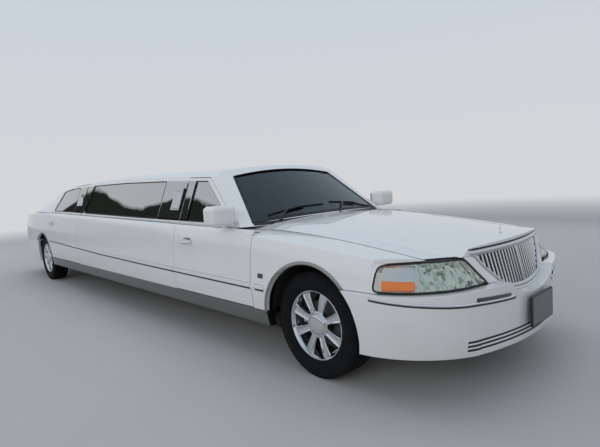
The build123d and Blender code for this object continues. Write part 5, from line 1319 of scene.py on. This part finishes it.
wheel_chrome = chrome_plate("wheel_chrome", (0.74, 0.75, 0.76), 0.10)
repeat_round = ring_tools()
RIM_HALF = 0.098
SPOKES = 8
RIM_PROFILE = [(0.2292, 0.0100), (0.2290, 0.0035), (0.2265, 0.0006), (0.2225, 0.0012), (0.2195, 0.0050),
               (0.2178, 0.0100), (0.2150, 0.0150), (0.2110, 0.0220), (0.2070, 0.0400), (0.2020, 0.0800),
               (0.2010, 0.1500), (0.2060, 0.1880), (0.2240, 0.1950), (0.2290, 0.1955), (0.2290, 0.1900),
               (0.2160, 0.1820), (0.2135, 0.0900), (0.2150, 0.0300), (0.2200, 0.0130)]
CAP_PROFILE = [(0.0, -0.0030), (0.0250, -0.0024), (0.0450, -0.0006), (0.0590, 0.0025), (0.0630, 0.0052),
               (0.0642, 0.0110), (0.0665, 0.0128), (0.0690, 0.0100), (0.0735, 0.0092), (0.0768, 0.0118),
               (0.0780, 0.0165), (0.0800, 0.0180), (0.0845, 0.0176), (0.0880, 0.0206), (0.0895, 0.0300),
               (0.0900, 0.0500), (0.0, 0.0500)]
DISC_PROFILE = [(0.078, 0.102), (0.150, 0.102), (0.150, 0.126), (0.078, 0.126)]
SPOKE_ROWS = [(0.078, 0.0235, 0.0245, 0.004), (0.092, 0.0238, 0.0222, 0.006), (0.110, 0.0248, 0.0202, 0.007),
              (0.132, 0.0266, 0.0184, 0.007), (0.155, 0.0288, 0.0168, 0.007), (0.178, 0.0312, 0.0156, 0.007),
              (0.198, 0.0338, 0.0150, 0.006), (0.2125, 0.0365, 0.0155, 0.003)]
SPOKE_PHASE = 22.5
SPOKE_DEPTH = 0.016
SPOKE_HALF = [(-1.0, -0.6), (-0.94, 0.55), (-0.84, 1.0), (-0.72, 0.85), (-0.60, 0.15), (-0.35, -0.25)]
SPOKE_COLUMNS = SPOKE_HALF + [(0.0, -0.35)] + [(-a, h) for a, h in reversed(SPOKE_HALF)]


def spoke_mesh():
    """One spoke, closed, pointing up from the wheel's centre."""
    points, faces = [], []
    columns = len(SPOKE_COLUMNS)
    for radius, half, depth, ridge in SPOKE_ROWS:
        points += [Vector((half * a, -(depth - ridge * h), radius)) for a, h in SPOKE_COLUMNS]
        points += [Vector((half * a * 0.92, -(depth + SPOKE_DEPTH), radius)) for a, _ in SPOKE_COLUMNS]
    ring = 2 * columns
    last = (len(SPOKE_ROWS) - 1) * ring
    for here in range(0, last, ring):
        for k in list(range(columns - 1)) + list(range(columns, ring - 1)):
            faces.append((here + k, here + k + 1, here + ring + k + 1, here + ring + k))
        for k in (here, here + columns - 1):
            faces.append((k, k + columns, k + columns + ring, k + ring))
    for start in (0, last):
        for k in range(start, start + columns - 1):
            faces.append((k, k + 1, k + columns + 1, k + columns))
    return mesh_from("spoke", points, faces)


def placed(mesh, centre, side):
    """Moves a mesh made about the origin, outer face towards +Y, to a wheel's outer face on either side."""
    shape = opened(mesh)
    for vert in shape.verts:
        vert.co = Vector((vert.co.x, vert.co.y * side, vert.co.z)) + centre
    if side < 0.0:
        bmesh.ops.reverse_faces(shape, faces=shape.faces)
    return written(shape, mesh.name, True)


def sharp_smooth(thing, degrees):
    """Smooth shading that keeps edges sharper than the angle."""
    shape = opened(thing.data)
    for edge in shape.edges:
        if len(edge.link_faces) == 2 and edge.calc_face_angle(0.0) > math.radians(degrees):
            edge.smooth = False
    written(shape, thing.data)


rim_mesh = revolved("rim", RIM_PROFILE)
cap_mesh = revolved("cap", CAP_PROFILE)
disc_mesh = revolved("disc", DISC_PROFILE)
spokes_mesh = put_through(repeat_round, spoke_mesh(), Count=SPOKES, Material=wheel_chrome)
spokes_mesh.transform(Matrix.Rotation(math.radians(SPOKE_PHASE), 4, "Y"))


# Tyres
# Road radials: rounded sidewalls with a fine rib, and a tread of seven rows of blocks. No lettering.
disc_metal = moulded("brake_disc", (0.10, 0.10, 0.10), 0.45, 300.0, 0.0003)
TREAD_PITCHES = 66
TREAD_TOP, TREAD_FOOT, TREAD_RADIUS = 0.3506, 0.338, 0.3505
TYRE_PROFILE = [(0.2294, 0.0955), (0.2360, 0.1010), (0.2480, 0.1062), (0.2600, 0.1095), (0.2660, 0.1108),
                (0.2680, 0.1122), (0.2720, 0.1122), (0.2740, 0.1112), (0.2860, 0.1120), (0.3000, 0.1112),
                (0.3150, 0.1078), (0.3270, 0.1030), (0.3350, 0.0975), (0.3405, 0.0900), (0.3425, 0.0820),
                (0.3432, 0.0600), (0.3436, 0.0)]
TREAD_ROWS = [(0.0800, 0.0965, 0.0040), (0.0490, 0.0765, 0.0), (0.0170, 0.0455, 0.0), (-0.0135, 0.0135, 0.0),
              (-0.0455, -0.0170, 0.0), (-0.0765, -0.0490, 0.0), (-0.0965, -0.0800, 0.0040)]
BLOCK_FACES = [(1, 3, 7, 5), (0, 4, 6, 2), (0, 1, 5, 4), (2, 6, 7, 3), (0, 2, 3, 1), (4, 5, 7, 6)]


def tread_mesh():
    """One pitch of tread blocks at the top of the tyre."""
    points, faces = [], []
    length = 2.0 * math.pi * TREAD_RADIUS / TREAD_PITCHES
    for number, (low, high, drop) in enumerate(TREAD_ROWS):
        gap = 0.0045 if number in (0, 6) else 0.0028
        skew = 0.006 * (1 if number % 2 else -1)
        faces += [tuple(len(points) + k for k in face) for face in BLOCK_FACES]
        for y, away in ((low, 0.0), (high, 1.0)):
            outer = TREAD_TOP - (drop if abs(y) > 0.09 else 0.0012 * abs(y) / 0.08)
            for end in (-0.5, 0.5):
                x = end * (length - gap) + skew * (away - 0.5)
                points.append(Vector((x, y, TREAD_FOOT)))
                points.append(Vector((x * 0.98, y, math.sqrt(max(0.0, outer ** 2 - x ** 2)))))
    return mesh_from("tread_blocks", points, faces)


def rubber():
    """Tyre rubber: matt black with a brown-grey film of dust and fine moulding marks."""
    material, tree, base = shader("tyre_rubber", (0.012, 0.012, 0.013), 0.88)
    dust = remap(tree, noise(tree, 14.0, 5.0), 0.0, 0.4, 0.45, 0.75)
    feed(tree, base, {"Base Color": blend(tree, dust, (0.006, 0.006, 0.007), (0.016, 0.0155, 0.015)),
                      "Normal": relief(tree, noise(tree, 260.0), 0.25, 0.0006), "Specular IOR Level": 0.25})
    return material


tyre_rubber = rubber()
carcass_profile = [(r, -y) for r, y in TYRE_PROFILE] + [(r, y) for r, y in TYRE_PROFILE[-2::-1]]
carcass_mesh = revolved("tyre_carcass", carcass_profile, 128)
blocks_mesh = put_through(repeat_round, tread_mesh(), Count=TREAD_PITCHES, Material=tyre_rubber)
for end in ("front", "rear"):
    for side, side_name in SIDES:
        body, tyre = f"{end}_wheel_{side_name}", f"{end}_tyre_{side_name}"
        low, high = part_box(tyre)
        centre = Vector(((low.x + high.x) / 2, (low.y + high.y) / 2, (low.z + high.z) / 2))
        face = centre + Vector((0.0, side * RIM_HALF, 0.0))
        parts = [placed(mesh, face, side) for mesh in (rim_mesh, cap_mesh, spokes_mesh)]
        alloy = written(opened(*parts), f"{body}_alloy", True)
        wheel = piece(alloy, wheel_chrome, body, "chrome_trim")
        sharp_smooth(wheel, 38.0)
        disc = piece(placed(disc_mesh, face, side), disc_metal, body, "cast_metal", f"{body}_disc")
        sharp_smooth(disc, 30.0)
        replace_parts(wheel, body)
        carcass = placed(carcass_mesh, centre, side)
        carcass = piece(carcass, tyre_rubber, body, "tyre_rubber", f"{tyre}_carcass")
        blocks = shaded(placed(blocks_mesh, centre, side), False)
        piece(blocks, tyre_rubber, body, "tyre_rubber", f"{tyre}_tread")
        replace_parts(carcass, tyre)


# Seats
# Leather over foam: two front seats with headrests, the rear bench and the long bench down the left side.
# Each pad is blown up a little as cloth and held to a small swell. All but the headrests get sewn channels.
def plain_box(name, low, high, roll=0.006):
    """Box between two corners with its edges rolled."""
    shape = bmesh.new()
    bmesh.ops.create_cube(shape, size=1.0)
    low, high = Vector(low), Vector(high)
    bmesh.ops.scale(shape, vec=high - low, verts=shape.verts)
    bmesh.ops.translate(shape, vec=(low + high) / 2, verts=shape.verts)
    bmesh.ops.bevel(shape, geom=list(shape.edges), offset=roll, segments=2, affect="EDGES", profile=0.5)
    return written(shape, name)


SEAT_PADS = [
    ("front_cushion", (1.6875, 0.375, 0.495), (0.525, 0.520, 0.190), 0.0, 0.014, "x", 0.105),
    ("front_back", (1.345, 0.375, 0.800), (0.130, 0.500, 0.640), -17.0, 0.014, "z", 0.105),
    ("front_headrest", (1.228, 0.375, 1.180), (0.090, 0.260, 0.170), -12.0, 0.010, "", 0.0),
    ("rear_cushion", (-1.850, 0.0, 0.547), (0.580, 1.560, 0.226), 0.0, 0.022, "x", 0.130),
    ("rear_back", (-2.235, 0.0, 0.900), (0.130, 1.520, 0.560), -16.0, 0.020, "z", 0.130),
    ("side_cushion", (-0.275, 0.565, 0.510), (2.350, 0.470, 0.180), 0.0, 0.024, "y", 0.130),
    ("side_back", (-0.250, 0.7575, 0.760), (2.300, 0.085, 0.400), 0.0, 0.020, "zx", 0.130),
]
SEAT_BASES = [("front_seats", (1.44, 0.175, 0.3043), (1.90, 0.575, 0.432), True),
              ("cabin_seats", (-2.12, -0.76, 0.3043), (-1.60, 0.76, 0.486), False),
              ("cabin_seats", (-1.42, 0.37, 0.3043), (0.87, 0.79, 0.458), False)]
PAD_SHRINK = 0.012
PAD_CAP = 0.022
PAD_FRAMES = 20
PAD_PRESSURE = 4.0
CHANNEL_DEPTH = 0.009
CHANNEL_WIDTH = 0.016
CHANNEL_MARGIN = 0.035
CHANNEL_AXES = {"x": (1, 2, 1.0), "y": (0, 2, 1.0), "z": (1, 0, 1.0), "zx": (0, 1, -1.0)}
POST_HALF = Vector((0.006, 0.006, 0.075))
POST_PLACE = (1.252, 0.375, 1.085)
POST_GAP = 0.045
POST_TILT = -14.0


def leather():
    """Black grained hide with a soft sheen."""
    material, tree, base = shader("leather", (0.028, 0.026, 0.026), 0.42)
    worn = remap(tree, noise(tree, 9.0, 3.0), 0.0, 1.0)
    feed(tree, base, {"Base Color": blend(tree, worn, (0.022, 0.020, 0.020), (0.042, 0.040, 0.039)),
                      "Normal": relief(tree, noise(tree, 420.0, 4.0), 0.35, 0.0007)})
    return material


def blown(name, size, voxel):
    """A rounded block remeshed, swollen by pressure as cloth and held to a small swell."""
    shape = bmesh.new()
    bmesh.ops.create_cube(shape, size=1.0)
    small = [side - 2 * PAD_SHRINK for side in size]
    bmesh.ops.scale(shape, vec=Vector(small), verts=shape.verts)
    bmesh.ops.bevel(shape, geom=list(shape.edges), offset=min(small) * 0.30, segments=4, affect="EDGES",
                    profile=0.5)
    thing = linked(name, written(shape, name))
    modified(thing, "even", "REMESH", mode="VOXEL", voxel_size=voxel)
    baked(thing)
    start = [vert.co.copy() for vert in thing.data.vertices]
    pad = thing.modifiers.new("pad", "CLOTH")
    pad.settings.use_pressure = True
    pad.settings.uniform_pressure_force = PAD_PRESSURE
    pad.settings.effector_weights.gravity = 0.0
    pad.settings.quality = 4
    pad.point_cache.frame_start = 1
    pad.point_cache.frame_end = PAD_FRAMES
    for moment in range(1, PAD_FRAMES + 1):
        bpy.context.scene.frame_set(moment)
    baked(thing)
    for vert, before in zip(thing.data.vertices, start):
        move = vert.co - before
        if move.length > PAD_CAP:
            vert.co = before + move.normalized() * PAD_CAP
    bpy.context.scene.frame_set(1)
    modified(thing, "finer", "SUBSURF", levels=1, render_levels=1)
    mesh = baked(thing).data
    bpy.data.objects.remove(thing)
    return mesh


def sewn(mesh, size, across, pitch):
    """Presses sewn channels into a pad, in its own upright frame."""
    if not across:
        return
    axis, face, outward = CHANNEL_AXES[across]
    half = size[axis] / 2 - CHANNEL_MARGIN
    for vert in mesh.vertices:
        along = vert.co[axis]
        if abs(along) > half or vert.co[face] * outward < 0.0:
            continue
        near = abs((along / pitch + 0.5) % 1.0 - 0.5) * pitch
        if near < CHANNEL_WIDTH:
            vert.co[face] -= outward * CHANNEL_DEPTH * (1.0 + math.cos(math.pi * near / CHANNEL_WIDTH)) / 2


hide = leather()
for name, place, size, tilt, voxel, across, pitch in SEAT_PADS:
    twin = name.startswith("front")
    node = "front_seats" if twin else "cabin_seats"
    blank = blown(name + "_blank", size, voxel)
    sewn(blank, size, across, pitch)
    turn = Matrix.Translation(Vector(place)) @ Matrix.Rotation(math.radians(tilt), 4, "Y")
    for side, side_name in SIDES if twin else [(1.0, "")]:
        mesh = shaded(blank.copy())
        mesh.name = f"{name}_{side_name}".strip("_")
        mesh.transform(turn)
        if side < 0.0:
            mesh.transform(Matrix.Diagonal((1.0, -1.0, 1.0, 1.0)))
            mesh.flip_normals()
        pad = piece(mesh, hide, body_of[node], slots[node])
        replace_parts(pad, node)
for number, (node, low, high, twin) in enumerate(SEAT_BASES):
    for side, side_name in SIDES if twin else [(1.0, "")]:
        near, far = sorted((low[1] * side, high[1] * side))
        mesh = plain_box(f"seat_base_{number}{side_name}", (low[0], near, low[2]), (high[0], far, high[2]))
        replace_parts(piece(mesh, carpet, body_of[node], "black_plastic"), node)
for side, side_name in SIDES:
    for dy in (-POST_GAP, POST_GAP):
        end = "outer" if dy * side > 0 else "inner"
        mesh = plain_box(f"headrest_post_{side_name}_{end}", -POST_HALF, POST_HALF, 0.002)
        place = Vector((POST_PLACE[0], side * POST_PLACE[1] + dy, POST_PLACE[2]))
        mesh.transform(Matrix.Translation(place) @ Matrix.Rotation(math.radians(POST_TILT), 4, "Y"))
        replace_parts(piece(mesh, chrome, "body", "chrome_trim"), "front_seats")


# Door mirror glass
# Silvered panes in the rear hollows of the two mirror shells.
mirror_silver = chrome_plate("mirror_silver", (0.55, 0.57, 0.60), 0.02)
MIRROR_PANE = (2.2775, 1.010, 1.066)
MIRROR_HALF = Vector((0.003, 0.086, 0.054))
for side, side_name in SIDES:
    centre = Vector((MIRROR_PANE[0], MIRROR_PANE[1] * side, MIRROR_PANE[2]))
    mesh = plain_box(f"mirror_pane_{side_name}", centre - MIRROR_HALF, centre + MIRROR_HALF, 0.002)
    piece(mesh, mirror_silver, f"front_door_{side_name}", "chrome_trim")


# Wipers, screen foot and inside mirror
# Two black wipers parked at the foot of the screen, a black band between the screen and the painted sheet
# in front of it, and the small mirror stuck to the inside of the glass.
WIPERS = [((2.56, -0.60), (2.475, 0.02)), ((2.56, 0.12), (2.475, 0.66))]
BLADE_SECTION = [(-0.006, -0.006), (0.006, -0.006), (0.005, 0.003), (0.0, 0.006), (-0.005, 0.003)]
ARM_SECTION = [(-0.008, -0.003), (0.008, -0.003), (0.007, 0.004), (0.0, 0.006), (-0.007, 0.004)]
ARM_REST = Vector((0.55, 0.0, 0.83))
BLADE_LIFT, ARM_LIFT, BAND_LIFT = 0.006, 0.018, 0.0015
BAND_HALF, BAND_START, BAND_STEP, BAND_FROM_Z = 0.80, 2.66, 0.0015, 1.03
BAND_TILT = Vector((0.5, 0.0, 0.86))
MIRROR_AT = 2.02
screen_tree = ray_tree("windshield")
roof_tree = ray_tree("roof")


def on_screen(x, y, lift=0.0):
    """Point and normal on the screen's outer face above plan point (x, y)."""
    return met(screen_tree, Vector((x, y, 3.0)), DOWN, lift)


def band_rows():
    """Points of the screen's foot band, four across at each place from side to side."""
    points = []
    for y in spread(-BAND_HALF, BAND_HALF, 60):
        front = rear = None
        for x in [BAND_START - BAND_STEP * step for step in range(260)]:
            if front is None and roof_tree.ray_cast(Vector((x, y, BAND_FROM_Z)), DOWN)[0] is not None:
                front = x
            if front is not None and on_screen(x, y):
                rear = x
                break
        if rear is None:
            continue
        for share in (0.0, 0.34, 0.67, 1.0):
            x = between(front - 0.004, rear + 0.002, share)
            hit, normal, _, _ = roof_tree.ray_cast(Vector((x, y, BAND_FROM_Z)), DOWN)
            normal = normal if hit is not None and normal.z > 0.0 else BAND_TILT
            points.append((hit if hit is not None else points[-1]) + normal * BAND_LIFT)
    return points


for number, ((pivot_x, pivot_y), (tip_x, tip_y)) in enumerate(WIPERS):
    blade = [on_screen(tip_x - 0.045 + 0.020 * share, between(pivot_y, tip_y, share), BLADE_LIFT)
             for share in spread(0.0, 1.0, 24)]
    blade = [found for found in blade if found]
    arm = []
    for share in spread(0.0, 1.0, 16):
        x = between(pivot_x, tip_x - 0.030, min(1.0, share * 2.2))
        y = between(pivot_y, tip_y, 0.62 * share)
        arm.append(on_screen(x, y, ARM_LIFT) or (Vector((x, y, 1.004 - 0.02 * share)), ARM_REST))
    trim(f"wiper_blade_{number}", blade, BLADE_SECTION, seal_rubber, "body", "black_plastic")
    trim(f"wiper_arm_{number}", arm, ARM_SECTION, black_trim, "body", "black_plastic")
points = band_rows()
piece(grid_mesh("screen_foot", points, 3, len(points) // 4 - 1, Vector((0.4, 0.0, 1.0))), seal_rubber, "body",
      "black_plastic")
glass = on_screen(MIRROR_AT, 0.0)[0]
centre = glass + Vector((-0.055, 0.0, -0.075))
half = Vector((0.012, 0.120, 0.032))
piece(plain_box("rear_view_mirror", centre - half, centre + half, 0.010), black_trim, "body", "black_plastic")
middle, half = centre - Vector((0.0125, 0.0, 0.0)), Vector((0.001, 0.112, 0.026))
piece(plain_box("rear_view_pane", middle - half, middle + half, 0.0008), mirror_silver, "body", "chrome_trim")
across = Vector((0.0, 1.0, 0.0))
path = [(centre + Vector((0.0, 0.0, 0.02)), across), (glass + Vector((-0.006, 0.0, -0.004)), across)]
stalk = [(0.008 * math.cos(turn), 0.008 * math.sin(turn)) for turn in spread(0.0, 2.0 * math.pi, 8)[:-1]]
trim("rear_view_stalk", path, stalk, black_trim, "body", "black_plastic")


# Front plate
# A blank dark grey plate in the black holder, with nothing on it.
PLATE_BORDER = Vector((0.0, 0.012, 0.008))
PLATE_BACK, PLATE_FRONT = Vector((-0.004, 0.0, 0.0)), Vector((0.0015, 0.0, 0.0))
plate_low, plate_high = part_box("front_plate")
low_corner = Vector((plate_high.x, plate_low.y, plate_low.z)) + PLATE_BORDER + PLATE_BACK
mesh = plain_box("plate_panel", low_corner, plate_high - PLATE_BORDER + PLATE_FRONT, 0.001)
piece(mesh, shader("plate_blank", (0.105, 0.112, 0.120), 0.45, coat=0.4)[0], "body", "grey_plastic")


# Bumper insets
# A dark inset at the inner end of the chrome strip on each side of the front bumper.
INSET_SPAN = (0.335, 0.600)
INSET_ENDS = (0.5690, 0.5835)
INSET_HEIGHT = 0.020
INSET_LIFT = 0.0045


def from_front(y, z, lift=0.0):
    """Point and normal where a level line from ahead meets the bumper, or None."""
    return met(bumper_tree, Vector((5.0, y, z)), -AHEAD, lift)


for side, side_name in SIDES:
    points = []
    for rise in spread(-INSET_HEIGHT / 2, INSET_HEIGHT / 2, 2):
        for y, z in zip(spread(*INSET_SPAN, 16), spread(*INSET_ENDS, 16)):
            points.append(from_front(side * y, z + rise, INSET_LIFT)[0])
    walled(piece(grid_mesh(f"bumper_inset_{side_name}", points, 16, 2, AHEAD), piano_black, "body",
                 "black_plastic"), 0.005)


# Bumper slots
# Black floors in the bumper's three slots, which run on over the skin beyond them as in the photo.
SLOT_HEIGHTS = [0.306, 0.329, 0.352]
SLOT_HALF = 0.556
SLOT_REACH = 0.640
SLOT_PROBE = 0.0085
SLOT_SUNK, SLOT_RAISED = -0.0035, 0.0004
for number, slot_z in enumerate(SLOT_HEIGHTS):
    path = []
    for y in spread(-SLOT_REACH, SLOT_REACH, 128):
        lips = [from_front(y, slot_z + dz) for dz in (-SLOT_PROBE, SLOT_PROBE)]
        if all(lips):
            middle = (lips[0][0] + lips[1][0]) / 2
            normal = (lips[0][1] + lips[1][1]).normalized()
            path.append((middle + normal * (SLOT_RAISED if abs(y) > SLOT_HALF else SLOT_SUNK), normal))
    trim(f"bumper_slot_{number}", path, flat_bar(0.0062, -0.002, 0.0004), seal_rubber, "body",
         "black_plastic")


# Tail lamps
# Wide red lenses over the tail, finely ribbed, in their body openings.
def ruby():
    """Deep red moulded lens with fine upright ribs, a wet shine and a faint painted red glow."""
    material, tree, base = shader("tail_red", (0.17, 0.003, 0.003), 0.24, coat=0.6)
    feed(tree, base, {"Normal": relief(tree, ribbed(tree, "Y", 28.0), 0.35, 0.0015),
                      "Emission Color": (0.5, 0.0, 0.0, 1.0), "Emission Strength": 0.05})
    return material


rolled("tail_lamps", ruby(), 0.0015)
